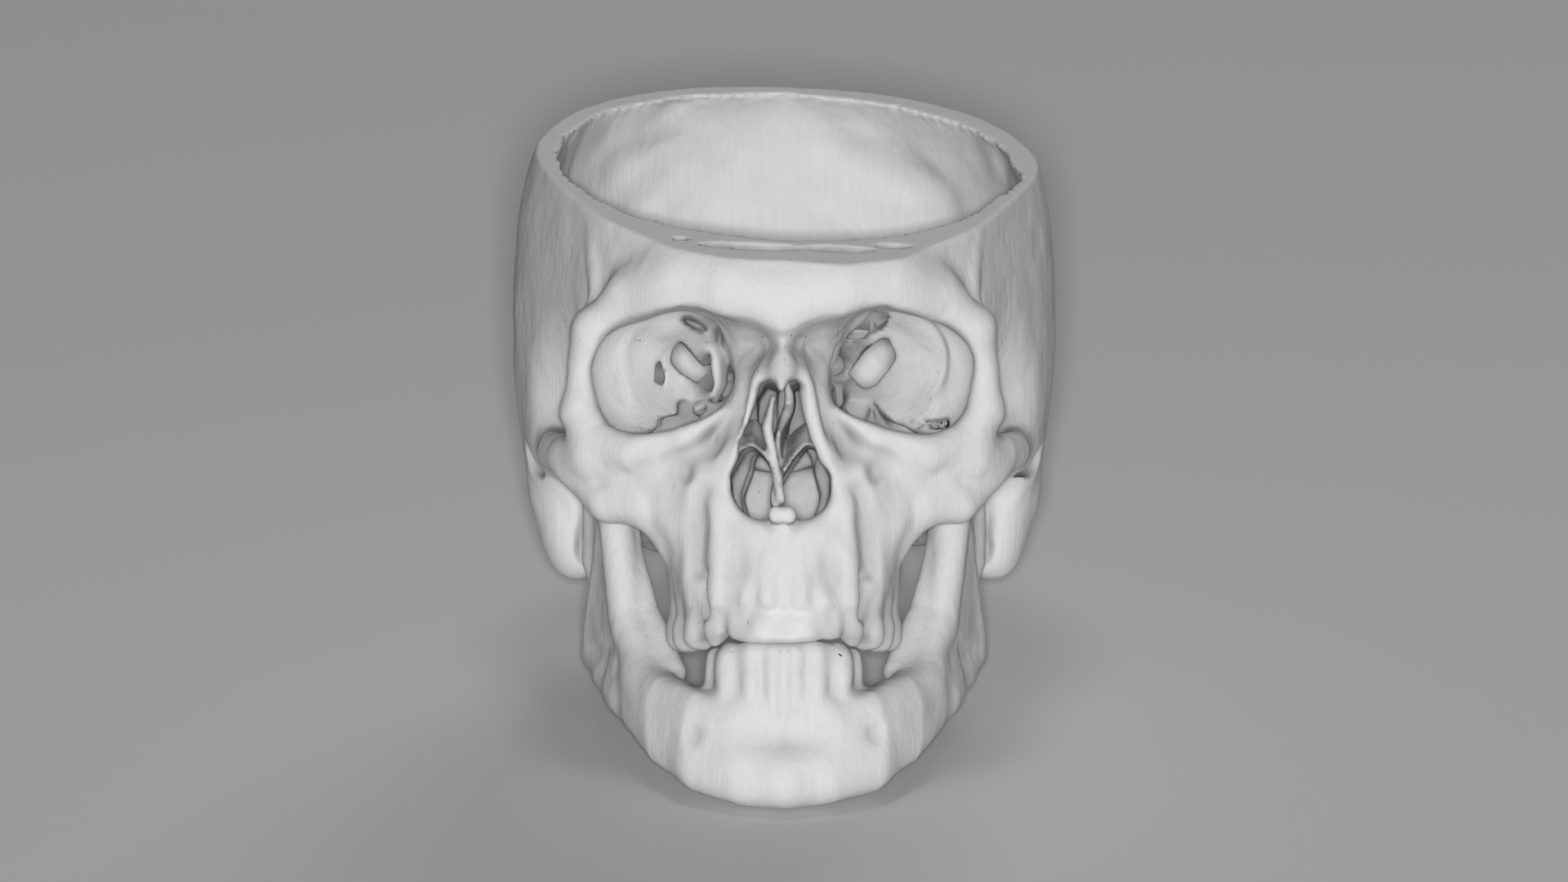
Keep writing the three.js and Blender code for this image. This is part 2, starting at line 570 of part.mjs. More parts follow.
// Takes triangles away where the surface is flattest, by folding up the edge whose ends lie
// nearest to the planes round them, until few enough are left.
function thinned({ points, triangles }, target) {
  const faces = triangles.map((t) => [...t]);
  const round = points.map(() => new Set());
  faces.forEach((face, f) => face.forEach((v) => round[v].add(f)));
  const quadrics = points.map(() => new Float64Array(10));
  const a = new THREE.Vector3();
  const b = new THREE.Vector3();
  const normal_of = (p, q, r, out) => {
    a.set(q[0] - p[0], q[1] - p[1], q[2] - p[2]);
    b.set(r[0] - p[0], r[1] - p[1], r[2] - p[2]);
    return out.crossVectors(a, b);
  };
  const n = new THREE.Vector3();
  for (const face of faces) {
    const [p, q, r] = face.map((v) => points[v]);
    const area = normal_of(p, q, r, n).length() / 2;
    n.normalize();
    const d = -(n.x * p[0] + n.y * p[1] + n.z * p[2]);
    const terms = [n.x, n.y, n.z, d];
    for (const v of face) {
      let at_term = 0;
      for (let i = 0; i < 4; i++) for (let j = i; j < 4; j++) quadrics[v][at_term++] += terms[i] * terms[j] * area;
    }
  }
  const error = (q, [x, y, z]) =>
    q[0] * x * x + 2 * q[1] * x * y + 2 * q[2] * x * z + 2 * q[3] * x + q[4] * y * y +
    2 * q[5] * y * z + 2 * q[6] * y + q[7] * z * z + 2 * q[8] * z + q[9];
  const best_place = (q, v, w) => {
    const m = new THREE.Matrix3().set(q[0], q[1], q[2], q[1], q[4], q[5], q[2], q[5], q[7]);
    const middle = points[v].map((c, i) => (c + points[w][i]) / 2);
    const places = [middle, points[v], points[w]];
    const scale = Math.max(q[0] + q[4] + q[7], Number.MIN_VALUE);
    if (Math.abs(m.determinant()) > least_volume_share * scale ** 3) {
      const s = new THREE.Vector3(-q[3], -q[6], -q[8]).applyMatrix3(m.invert());
      const length = Math.hypot(...points[v].map((c, i) => c - points[w][i]));
      if (s.distanceTo(new THREE.Vector3(...middle)) < length) places.unshift(s.toArray());
    }
    return places.reduce((x, y) => (error(q, y) < error(q, x) ? y : x));
  };
  const heap = [];
  const sift = (item) => {
    let i = heap.push(item) - 1;
    while (i > 0 && heap[(i - 1) >> 1].cost > heap[i].cost) {
      const up = (i - 1) >> 1;
      [heap[i], heap[up]] = [heap[up], heap[i]];
      i = up;
    }
  };
  const take = () => {
    const top = heap[0];
    const last = heap.pop();
    if (!heap.length) return top;
    heap[0] = last;
    for (let i = 0; ; ) {
      let least = i;
      for (const c of [2 * i + 1, 2 * i + 2]) if (c < heap.length && heap[c].cost < heap[least].cost) least = c;
      if (least === i) return top;
      [heap[i], heap[least]] = [heap[least], heap[i]];
      i = least;
    }
  };
  const stamp = new Uint32Array(points.length);
  const offer = (v, w) => {
    const q = quadrics[v].map((term, i) => term + quadrics[w][i]);
    const place = best_place(q, v, w);
    const length = Math.hypot(...points[v].map((c, i) => c - points[w][i]));
    const cost = error(q, place) + long_edge_cost * length ** 4;
    sift({ cost, v, w, place, stamps: [stamp[v], stamp[w]] });
  };
  for (const [p, q, r] of faces) for (const [v, w] of [[p, q], [q, r], [r, p]]) if (v < w) offer(v, w);
  const old_normal = new THREE.Vector3();
  const neighbours = (v) => new Set([...round[v]].flatMap((f) => faces[f]).filter((u) => u !== v));
  const keeps_shape = (v, other, place) =>
    [...round[v]].every((f) => {
      if (faces[f].includes(other)) return true;
      normal_of(...faces[f].map((u) => points[u]), old_normal);
      normal_of(...faces[f].map((u) => (u === v ? place : points[u])), n);
      const [p, q, r] = faces[f].map((u) => (u === v ? place : points[u]));
      const longest = Math.max(...[[p, q], [q, r], [r, p]].map(([s, t]) => Math.hypot(...s.map((c, i) => c - t[i]))));
      const turned = n.dot(old_normal) <= least_turn_share * n.length() * old_normal.length();
      return !turned && n.length() > least_height_share * longest * longest;
    });
  let left = faces.length;
  while (left > target && heap.length) {
    const { v, w, place, stamps } = take();
    if (stamp[v] !== stamps[0] || stamp[w] !== stamps[1] || !round[v].size || !round[w].size) continue;
    const around = neighbours(v);
    if (!around.has(w)) continue;
    const shared = [...neighbours(w)].filter((u) => around.has(u));
    if (shared.length !== 2 || !keeps_shape(v, w, place) || !keeps_shape(w, v, place)) continue;
    points[v] = place;
    quadrics[v] = quadrics[v].map((term, i) => term + quadrics[w][i]);
    for (const f of [...round[w]]) {
      if (faces[f].includes(v)) {
        for (const u of faces[f]) round[u].delete(f);
        faces[f] = null;
        left--;
      } else {
        faces[f] = faces[f].map((u) => (u === w ? v : u));
        round[v].add(f);
      }
    }
    round[w].clear();
    stamp[v]++;
    stamp[w]++;
    for (const u of neighbours(v)) offer(v, u);
  }
  return { points, triangles: faces.filter(Boolean) };
}

// Solids that can be joined and cut.
const weld_gap = mesh_step / 25000;
function solid_of(geometry) {
  const bare = new THREE.BufferGeometry().setAttribute("position", geometry.getAttribute("position"));
  bare.setIndex(geometry.index);
  const merged = mergeVertices(bare, weld_gap);
  return new wasm.Manifold(
    new wasm.Mesh({
      numProp: 3,
      vertProperties: merged.getAttribute("position").array,
      triVerts: new Uint32Array(merged.index.array),
    }),
  );
}

function geometry_of_lists(points, triangles) {
  const geometry = new THREE.BufferGeometry();
  geometry.setAttribute("position", new THREE.Float32BufferAttribute(points.flat(), 3));
  geometry.setIndex(triangles.flat());
  return geometry;
}

function geometry_of(solid) {
  const mesh = solid.getMesh();
  const geometry = new THREE.BufferGeometry();
  geometry.setAttribute("position", new THREE.BufferAttribute(mesh.vertProperties, 3));
  geometry.setIndex(new THREE.BufferAttribute(mesh.triVerts, 1));
  geometry.computeVertexNormals();
  return geometry;
}

const largest = (solid) => solid.decompose().reduce((a, b) => (b.volume() > a.volume() ? b : a));
const joined = (solids) => solids.reduce((a, b) => a.add(b));

// What is left above the saw plane until the cut.
const room = 3 * mesh_step;

// The corners of the box round all that a body adds, alike on both sides.
function box_of(list) {
  const solid = list.filter(({ sign }) => sign > 0).map(({ form }) => form);
  const low = [0, 1, 2].map((i) => Math.min(...solid.map((form) => form.low[i])) - mesh_step);
  const high = [0, 1, 2].map((i) => Math.max(...solid.map((form) => form.high[i])) + mesh_step);
  high[0] = Math.ceil(high[0] / mesh_step) * mesh_step;
  low[0] = -high[0];
  return [low, high];
}

function carved(list, triangles, limit = () => -Infinity) {
  const [low, high] = box_of(list);
  const value = (x, y, z) => {
    const beyond = limit(x, y, z);
    return beyond > room ? beyond : Math.max(distance_in(list, Math.abs(x), y, z), beyond);
  };
  const { points, triangles: found } = thinned(skin_of(value, low, high), triangles);
  const solid = solid_of(geometry_of_lists(points, found));
  return largest(solid.volume() < 0 ? solid_of(geometry_of_lists(points, found.map(([p, q, r]) => [p, r, q]))) : solid);
}

const above_saw = (x, y, z) => saw_normal.x * x + saw_normal.y * y + saw_normal.z * z - saw_offset - room;
const whole_skull = carved(steps.skull, skull_triangles, above_saw);
const skull = whole_skull.trimByPlane(saw_normal.clone().negate().toArray(), -saw_offset);
const jaw = carved(steps.jaw, jaw_triangles);

// Each bone is what lies inside one or more convex regions. A region is a heart inside it
// and the planes that bound it, each through three places.
const big = 4 * (vault_breadth + vault_length + vault_height);
const block = solid_of(new THREE.BoxGeometry(big, big, big));
const mirrored = ([across, ...rest], side) => [across * side, ...rest];

function region({ heart, planes, place = at_case }, side, margin) {
  const middle = new THREE.Vector3(...place(mirrored(heart, side)));
  return planes.reduce((solid, corners) => {
    const [p, q, r] = corners.map((share) => new THREE.Vector3(...place(mirrored(share, side))));
    const plane = new THREE.Plane().setFromCoplanarPoints(p, q, r);
    if (plane.distanceToPoint(middle) < 0) plane.negate();
    return solid.trimByPlane(plane.normal.toArray(), -plane.constant - margin);
  }, block);
}

const midline = [[0, 0, 0], [0, -50, 0], [0, 0, -50]];
const facing_side = (across) => [[across, 0, 0], [across, -50, 0], [across, 0, -50]];
const facing_back = (back) => [[0, back, 0], [50, back, 0], [0, back, -50]];
const facing_up = (up) => [[0, 0, up], [50, 0, up], [0, -50, up]];
const crown_seam = [[0, -22, 110], [50, -22, 110], [0, -44, 26]];
const nape_seam = [[0, 74, 64], [62, 46, 4], [0, 20, 20]];
const ear_seam = [[60, -45, 29], [60, 10, 41], [40, -45, 29]];

// In the order in which they are cut away. What is left at the end is the sphenoid.
const bone_shares = [
  {
    name: "nasal_bone",
    parts: [{
      heart: [3, -98, 14],
      planes: [
        midline, facing_back(-84), facing_up(2),
        [[6.5, -95, 26], [8.6, -95, 4], [5, -80, 26]], [[0, -95, 26.5], [8, -95, 25.5], [0, -80, 30]],
      ],
    }],
  },
  {
    name: "lacrimal",
    parts: [{
      heart: [13, -80, 12],
      planes: [facing_side(8), facing_side(18), facing_back(-83), facing_back(-76.5), facing_up(5), facing_up(21)],
    }],
  },
  {
    name: "inferior_concha",
    parts: [{
      place: at_jaw,
      heart: [9, -72, -9],
      planes: [facing_side(3.5), facing_side(12.7), facing_back(-89), facing_back(-55), facing_up(-17), facing_up(0)],
    }],
  },
  {
    name: "vomer",
    single: true,
    parts: [{
      place: at_jaw,
      heart: [0, -70, -15],
      planes: [facing_side(-3.2), facing_side(3.2), facing_back(-89), facing_back(-44), facing_up(-26.5), facing_up(-2)],
    }],
  },
  {
    name: "ethmoid",
    single: true,
    parts: [{
      heart: [0, -70, 20],
      planes: [facing_side(-15), facing_side(15), facing_back(-86.5), facing_back(-51), facing_up(-2), facing_up(31)],
    }],
  },
  {
    name: "palatine",
    parts: [{
      place: at_jaw,
      heart: [9, -55, -29],
      planes: [midline, facing_back(-62), facing_back(-47.5), facing_side(18), facing_up(-2)],
    }],
  },
  {
    name: "zygomatic",
    parts: [{
      heart: [50, -70, -5],
      planes: [
        [[54, -67, 23], [50, -60, 22], [54, -80, 23]], [[33, -86, -2], [36, -76, -26], [36, -50, -8]],
        [[38, -61, -5], [63, -47, -5], [50, -54.3, 20]],
      ],
    }],
  },
  {
    name: "maxilla",
    parts: [
      { place: at_jaw, heart: [20, -72, -15], planes: [midline, facing_up(4), facing_back(-48.5)] },
      { heart: [11, -90, 12], planes: [midline, facing_up(25), facing_back(-83), facing_side(18)] },
    ],
  },
  {
    name: "frontal",
    single: true,
    parts: [{ heart: [0, -80, 45], planes: [crown_seam, [[0, -90, 25], [50, -90, 23.5], [0, -50, 26]]] }],
  },
  {
    name: "temporal",
    parts: [
      {
        heart: [60, 0, 5],
        planes: [
          ear_seam, [[66, 10, 41], [60, 44, 4], [20, 20, 20]], [[58, 42, 0], [13, -15, 0], [58, 42, -30]],
          [[60, -35, 0], [12, -20, 0], [60, -35, 20]],
        ],
      },
      {
        heart: [62, -20, -2],
        planes: [facing_side(56), facing_up(9), facing_up(-12), facing_back(-6), [[60, -48, 0], [70, -45, 0], [62, -50, -10]]],
      },
    ],
  },
  {
    name: "parietal",
    parts: [
      { heart: [60, 0, 60], planes: [midline, crown_seam, nape_seam, ear_seam] },
      { heart: [60, 20, 40], planes: [facing_side(20), facing_back(8), nape_seam, facing_up(4)] },
    ],
  },
  {
    name: "occipital",
    single: true,
    parts: [{ heart: [0, 60, 0], planes: [[[0, -11, 6], [10, -11, 6], [0, -15, -14]]] }],
  },
];

// The teeth. A tooth is a stack of rounded sections, each row of shares being its height (of the
// root below nought, of the crown above), its breadth and its depth.
const tooth_breadth = 9;
const tooth_depth = 8.4;
const crown_height = 10.6;
const root_length = 11;
const tooth_forms_shares = {
  incisor: [[-100, 18, 20], [-50, 52, 66], [0, 82, 92], [45, 98, 78], [82, 100, 44], [100, 97, 20]],
  canine: [[-100, 18, 20], [-50, 58, 74], [0, 78, 96], [40, 98, 96], [75, 84, 62], [100, 24, 20]],
  premolar: [[-100, 20, 20], [-50, 60, 66], [0, 80, 84], [45, 100, 97], [84, 86, 82], [100, 58, 50]],
  molar: [[-100, 42, 40], [-50, 78, 76], [0, 88, 88], [45, 100, 100], [84, 90, 90], [100, 66, 64]],
};

// Each row: across, back and up of the neck, the turn about the upright in degrees, the lean
// outwards in degrees, then the shares of breadth, depth, crown and root.
const upper_tooth_shares = {
  central_incisor: ["incisor", 4.6, -94, -47, 3, 22, 101, 84, 102, 100],
  lateral_incisor: ["incisor", 12.7, -91.8, -47, 20, 20, 80, 78, 94, 95],
  canine: ["canine", 18.7, -86.8, -47, 46, 12, 84, 98, 104, 120],
  first_premolar: ["premolar", 22.4, -79.6, -47, 66, 6, 74, 104, 106, 95],
  second_premolar: ["premolar", 24.4, -72.4, -47, 76, 4, 74, 106, 112, 95],
  first_molar: ["molar", 25.8, -63.4, -46.5, 82, 2, 112, 118, 108, 90],
  second_molar: ["molar", 25.8, -53.4, -45.5, 84, 0, 100, 108, 100, 85],
};
const lower_tooth_shares = {
  central_incisor: ["incisor", 2.95, -89.6, -66, 3, 8, 64, 74, 92, 100],
  lateral_incisor: ["incisor", 8.8, -88.3, -66, 14, 8, 66, 76, 92, 100],
  canine: ["canine", 14, -84.6, -66, 38, 4, 74, 90, 96, 125],
  first_premolar: ["premolar", 16.4, -78.4, -66.5, 62, 0, 70, 76, 80, 110],
};

function tooth_solid([form, across, back, up, turn, lean, breadth, depth, crown, root], side, pointing, margin) {
  const points = [];
  const triangles = [];
  const rows = tooth_forms_shares[form];
  const reach = (share, height, length) => (share / 100) * (share < 0 ? height : length);
  const [crown_reach, root_reach] = [(crown / 100) * crown_height, (root / 100) * root_length];
  rows.forEach(([height, wide, deep], row) => {
    const z = reach(height, root_reach, crown_reach) + Math.sign(height) * margin;
    const half_breadth = ((wide * breadth) / 20000) * tooth_breadth + margin;
    const half_depth = ((deep * depth) / 20000) * tooth_depth + margin;
    for (let k = 0; k < tooth_sides; k++) {
      const angle = ((k + 0.5) / tooth_sides) * 2 * Math.PI;
      const [c, s] = [Math.cos(angle), Math.sin(angle)];
      const squared = (v) => Math.sign(v) * Math.sqrt(Math.abs(v));
      points.push([squared(c) * half_breadth, squared(s) * half_depth, z]);
      const next = (k + 1) % tooth_sides;
      const base = row * tooth_sides;
      if (row + 1 < rows.length) {
        triangles.push([base + k, base + next, base + next + tooth_sides]);
        triangles.push([base + k, base + next + tooth_sides, base + k + tooth_sides]);
      }
      if (k > 1) {
        if (row === 0) triangles.push([0, k, k - 1]);
        if (row === rows.length - 1) triangles.push([base, base + k - 1, base + k]);
      }
    }
  });
  const geometry = geometry_of_lists(points, triangles);
  if (pointing < 0) geometry.rotateY(Math.PI);
  geometry.rotateX(rad(lean) * pointing);
  geometry.rotateZ(rad(turn) * side);
  geometry.translate(...at_jaw([across * side, back, up]));
  return solid_of(geometry);
}

const side_names = [["right", -1], ["left", 1]];
const crowns = { upper: [], lower: [] };
const sockets = { upper: [], lower: [] };
for (const [row_name, table, pointing] of [["upper", upper_tooth_shares, -1], ["lower", lower_tooth_shares, 1]])
  for (const [side_name, side] of side_names)
    for (const [kind, shares] of Object.entries(table)) {
      crowns[row_name].push([`${row_name}_${side_name}_${kind}`, tooth_solid(shares, side, pointing, 0)]);
      sockets[row_name].push(tooth_solid(shares, side, pointing, socket_gap));
    }

// Finishes.
const bone = new THREE.MeshStandardMaterial({ color: 0xc9c7c3, roughness: 0.85, metalness: 0 });
const enamel = new THREE.MeshStandardMaterial({ color: 0xdedcd6, roughness: 0.5, metalness: 0 });

const skull_group = new THREE.Group();
function mesh_named(name, solid, material) {
  const mesh = new THREE.Mesh(geometry_of(solid), material.clone());
  mesh.name = name;
  skull_group.add(mesh);
}

// The hollow under each ear bone in which a condyle of the jaw turns.
function condyle_hollow(side) {
  const ball = new THREE.SphereGeometry(1, condyle_sides, condyle_sides / 2);
  ball.scale(condyle_breadth / 2 + joint_gap, condyle_gauge / 2 + joint_gap, condyle_gauge / 2 + joint_gap);
  ball.translate(condyle_centre[0] * side, condyle_centre[1], condyle_centre[2]);
  return solid_of(ball);
}

const hollows = side_names.map(([, side]) => condyle_hollow(side));
let rest = skull.subtract(joined([...sockets.upper, ...hollows]));
for (const { name, parts, single } of bone_shares)
  for (const [side_name, side] of single ? [["", 1]] : side_names) {
    const inside = joined(parts.map((part) => region(part, side, 0)));
    const around = joined(parts.map((part) => region(part, side, suture_gap)));
    mesh_named(single ? name : `${side_name}_${name}`, largest(rest.intersect(inside)), bone);
    rest = rest.subtract(around);
  }
mesh_named("sphenoid", largest(rest), bone);
mesh_named("mandible", largest(jaw.subtract(joined(sockets.lower))), bone);
for (const [name, solid] of [...crowns.upper, ...crowns.lower]) mesh_named(name, solid, enamel);

// The part stands with the saw cut level and its origin under the middle of its box.
const part = new THREE.Group();
const levelled = new THREE.Group();
levelled.rotation.x = -rad(cut_pitch);
levelled.add(skull_group);
levelled.updateMatrixWorld(true);
const box = new THREE.Box3().setFromObject(levelled, true);
const middle = box.getCenter(new THREE.Vector3());
levelled.position.set(-middle.x, -middle.y, -box.min.z);
part.add(levelled);

export default part;
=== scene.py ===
"""A dry human skull with its cap sawn off, as bones and teeth that meet along their seams.

Every surface here follows one of two distance fields, one for the head and one for the jaw.
A field is negative inside the bone. It is built up stroke by stroke on a grid of points, as a
sculptor adds and carves clay, and each stroke is a formula on whole arrays. The surface where
the field is nought is then read off once, and shared out among the pieces along their seams.
Lengths are millimetres in the head's own frame: x to the left side of the head, y to the back,
z up from the plane through the ears and the eye floors, and nought midway between the ears.
"""

import json
from functools import reduce

import bpy
import numpy as np
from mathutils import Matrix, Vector


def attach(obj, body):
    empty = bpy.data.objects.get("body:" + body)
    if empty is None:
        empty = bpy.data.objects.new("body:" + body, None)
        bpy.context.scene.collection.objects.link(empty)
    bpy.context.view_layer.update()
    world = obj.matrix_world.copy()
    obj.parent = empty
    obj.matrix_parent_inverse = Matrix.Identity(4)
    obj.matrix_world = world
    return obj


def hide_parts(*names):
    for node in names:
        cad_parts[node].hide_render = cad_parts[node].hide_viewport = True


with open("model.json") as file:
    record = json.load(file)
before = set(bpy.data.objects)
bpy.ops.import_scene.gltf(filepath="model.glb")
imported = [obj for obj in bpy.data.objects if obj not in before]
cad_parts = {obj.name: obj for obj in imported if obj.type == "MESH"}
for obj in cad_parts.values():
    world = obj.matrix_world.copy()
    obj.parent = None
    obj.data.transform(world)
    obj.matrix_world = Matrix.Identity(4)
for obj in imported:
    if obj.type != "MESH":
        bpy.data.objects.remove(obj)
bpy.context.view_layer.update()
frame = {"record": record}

# Grid and frame.
STEP = 0.95  # between the grid's points
TILT = np.radians(20.3)  # the saw plane rises to the back by this much, and is level in the part
ROLL = np.radians(2.3)  # and falls to the left side by this much
HINGE = np.array([0.0, -12.0, -5.5])  # the jaw's hinge in the head's frame
MM = 0.001
BLEND = 4.0  # how wide the rounded seam of a stroke is, unless the stroke says
MARGIN = 3  # how far round a form its stroke still counts
OPEN_AIR = 50.0  # the field before the first stroke


def hinge_in_part():
    """The place of the jaw's hinge in the part, in metres, as the record gives it."""
    joint = frame["record"]["behaviour"]["joints"][0]
    return np.array(joint["pos_m"], float)


def to_part(points):
    """Head millimetres to part metres: a turn about x by minus the tilt, then a shift that
    puts the hinge on the record's hinge."""
    c, s = np.cos(TILT), np.sin(TILT)
    p = (np.asarray(points, float) - HINGE) * MM
    turned = np.stack([p[..., 0], p[..., 1] * c + p[..., 2] * s, -p[..., 1] * s + p[..., 2] * c], -1)
    return turned + hinge_in_part()


# Forms. Each is a distance function and the box that holds it.
def length_of(*parts):
    """The root of the sum of squares."""
    return np.sqrt(sum(part * part for part in parts))


def larger(a, b, blend):
    """The larger of two distances, with a rounded join as wide as blend."""
    overlap = np.maximum(blend - np.abs(a - b), 0) / blend
    return np.maximum(a, b) + overlap * overlap * (blend / 4)


def smaller(a, b, blend):
    """The smaller of two distances, with a rounded join as wide as blend."""
    return -larger(-a, -b, blend)


def along(at, start, end):
    """The share of the way from start to end at which the line is nearest to each place, and the
    offsets from there."""
    way = [e - s for s, e in zip(start, end)]
    off = [v - s for v, s in zip(at, start)]
    share = np.clip(sum(o * w for o, w in zip(off, way)) / sum(w * w for w in way), 0, 1)
    return share, [o - share * w for o, w in zip(off, way)]


def over_plane(at, place, normal):
    """How far places lie over a plane, along its normal."""
    return sum((v - p) * n for v, p, n in zip(at, place, normal))


def from_line(at, rows, flat=1.0):
    """The distance to the nearest stretch of a line, less a radius that runs evenly from row to
    row. Rows are a place and a radius."""

    def from_stretch(a, b):
        share, off = along(at, a[:-1], b[:-1])
        return length_of(off[0] * flat, *off[1:]) - a[-1] - share * (b[-1] - a[-1])

    return reduce(np.minimum, map(from_stretch, rows, rows[1:]))


def box_of(rows):
    """The corners of the box round balls, each a place and a radius."""
    return (rows[:, :-1] - rows[:, -1:]).min(0), (rows[:, :-1] + rows[:, -1:]).max(0)


def superellipse(shares, halves, power):
    """The power mean of offsets, as shares of the half sizes, less 1, over its own slope."""
    size = np.maximum(sum(share**power for share in shares) ** (1 / power), 0.05)
    slope = sum(((share / size) ** (power - 1) / half) ** 2 for share, half in zip(shares, halves))
    return (size - 1) / np.sqrt(slope)


def egg(centre, radii, power=2.0, taper=0.0):
    """Superellipsoid, whose breadth taper draws in towards the front."""

    def distance(x, y, z):
        forward = np.clip((centre[1] - y) / radii[1], 0, 1)
        halves = (radii[0] * (1 - taper * forward * forward), radii[1], radii[2])
        shares = [np.abs(v - c) / half for v, c, half in zip((x, y, z), centre, halves)]
        return superellipse(shares, halves, power)

    reach = np.array(radii) + 0.1
    return distance, np.array(centre) - reach, np.array(centre) + reach


def bar(*rows, flat=1.0):
    """Round bar through points: rows are x, y, z and radius. Flat above 1 thins it across the
    head."""
    rows = np.array(rows, float)
    return (lambda x, y, z: from_line((x, y, z), rows, flat), *box_of(rows))


def plate(corners, wall):
    """Rounded plate on a triangle: the distance to the nearest point of the triangle, inside it
    or on an edge, less half the wall."""
    a, b, c = points = np.array(corners, float)
    edges = ((a, b), (b, c), (c, a))
    normal = np.cross(b - a, c - a)
    normal /= np.linalg.norm(normal)

    def distance(*at):
        inside = reduce(np.logical_and, (over_plane(at, p, np.cross(q - p, normal)) <= 0 for p, q in edges))
        rim = reduce(np.minimum, (length_of(*along(at, p, q)[1]) for p, q in edges))
        return np.where(inside, np.abs(over_plane(at, a, normal)), rim) - wall / 2

    return distance, points.min(0) - wall / 2, points.max(0) + wall / 2


def band(*rows, power=2.8):
    """Upright band on a line in plan, as a tooth row stands: a superellipse of height and
    breadth about the line. Rows are x, y, middle height, half height, half breadth."""
    rows = np.array(rows, float)

    def distance(x, y, z):
        nearest = np.full(np.broadcast(x, y).shape, np.inf, np.float32)
        found = [np.zeros_like(nearest) for _ in range(3)]
        for a, b in zip(rows, rows[1:]):
            share, off = along((x, y), a[:2], b[:2])
            away = length_of(*off)
            closer = away < nearest
            nearest = np.where(closer, away, nearest)
            found = [np.where(closer, p + share * (q - p), f) for p, q, f in zip(a[2:], b[2:], found)]
        middle, half_height, half_breadth = found
        shares = (nearest / half_breadth, np.abs(z - middle) / half_height)
        return superellipse(shares, (half_breadth, half_height), power)

    reach = rows[:, [4, 4, 3]]
    return distance, (rows[:, :3] - reach).min(0), (rows[:, :3] + reach).max(0)


FUNNEL_LEAD = 40  # how far a funnel goes on in front of its mouth


def funnel(mouth, end, mouth_half, end_half, power=3.2, droop=0.0):
    """Passage that runs back: at each depth a superellipse whose centre and half sizes run
    evenly from the mouth to the end. Its outer side droops by an angle in degrees."""
    c, s = np.cos(np.radians(droop)), np.sin(np.radians(droop))

    def distance(x, y, z):
        t = np.clip((y - mouth[1]) / (end[1] - mouth[1]), 0, 1)
        half = [m + t * (e - m) for m, e in zip(mouth_half, end_half)]
        dx = x - mouth[0] - t * (end[0] - mouth[0])
        dz = z - mouth[2] - t * (end[2] - mouth[2])
        u = np.abs(dx * c - dz * s) / half[0]
        w = np.abs(dx * s + dz * c) / half[1]
        size = (u**power + w**power) ** (1 / power)
        true_size = 0.85  # keeps the distance no longer than it is, where the funnel narrows
        return np.maximum((size - 1) * np.minimum(*half) * true_size, y - end[1])

    reach = max(mouth_half) + 3
    low = [mouth[0] - reach, mouth[1] - FUNNEL_LEAD, mouth[2] - reach]
    high = [mouth[0] + reach, end[1], mouth[2] + reach]
    return distance, np.array(low, float), np.array(high, float)


def passage(rows, front, back, blend=3.0):
    """Passage with a pear-shaped section between two depths: the distance, seen from the front,
    to a line of x, z, radius points."""
    rows = np.array(rows, float)

    def distance(x, y, z):
        return larger(from_line((x, z), rows), np.maximum(front - y, y - back), blend)

    low, high = box_of(rows)
    return distance, np.array([low[0], front, low[1]]), np.array([high[0], back, high[1]])


def window(corners, front, back):
    """Hole with straight sides between two depths: the distance, seen from the front, to an
    outline of x, z corners, below nought where a level line to the right crosses it an odd
    number of times."""
    corners = np.array(corners, float)

    def distance(x, y, z):
        nearest = np.inf
        inside = False
        for start, end in zip(corners, np.roll(corners, -1, 0)):
            nearest = np.minimum(nearest, length_of(*along((x, z), start, end)[1]))
            (x0, z0), (dx, dz) = start, end - start
            inside = inside ^ (((z0 <= z) != (end[1] <= z)) & (x - x0 < (z - z0) * dx / (dz or 1)))
        return np.maximum(np.where(inside, -nearest, nearest), np.maximum(front - y, y - back))

    low, high = corners.min(0), corners.max(0)
    return distance, np.array([low[0], front, low[1]]), np.array([high[0], back, high[1]])


def moth_eaten(form, size, share, seed):
    """The parts of a form where smooth noise of a size is above a share, as in worn thin bone."""
    distance, low, high = form

    def eaten(x, y, z):
        shape = np.broadcast(x, y, z).shape
        spots = noise(*(np.broadcast_to(v, shape) for v in (x, y, z)), size, seed)
        return np.maximum(distance(x, y, z), (share - spots) * np.min(size) * 0.7)

    return eaten, low, high


def grown(form, by):
    """The same form, swollen by a wall."""
    distance, low, high = form
    return (lambda x, y, z: distance(x, y, z) - by), low - by, high + by


def noise(x, y, z, size, seed):
    """Smooth noise from -1 to 1: a hash of whole steps of size, eased between the corners."""
    cells = []
    eases = []
    for value, s in zip((x, y, z), size if np.ndim(size) else (size,) * 3):
        scaled = np.asarray(value, np.float64) / s + 512.0
        cell = np.floor(scaled)
        t = (scaled - cell).astype(np.float32)
        cells.append(cell.astype(np.int64))
        eases.append(t * t * (3 - 2 * t))
    total = 0
    for corner in range(8):
        steps = [(corner >> axis) & 1 for axis in range(3)]
        code = sum((c + s) * prime for c, s, prime in zip(cells, steps, (73856093, 19349663, 83492791)))
        code = (code + seed * 40503) & 0xFFFFFFFF
        code = ((code ^ (code >> 13)) * 1274126177) & 0xFFFFFFFF
        weight = 1
        for ease, s in zip(eases, steps):
            weight = weight * (ease if s else 1 - ease)
        total = total + weight * (((code ^ (code >> 16)) & 0xFFFF) / 32767.5 - 1)
    return total.astype(np.float32)


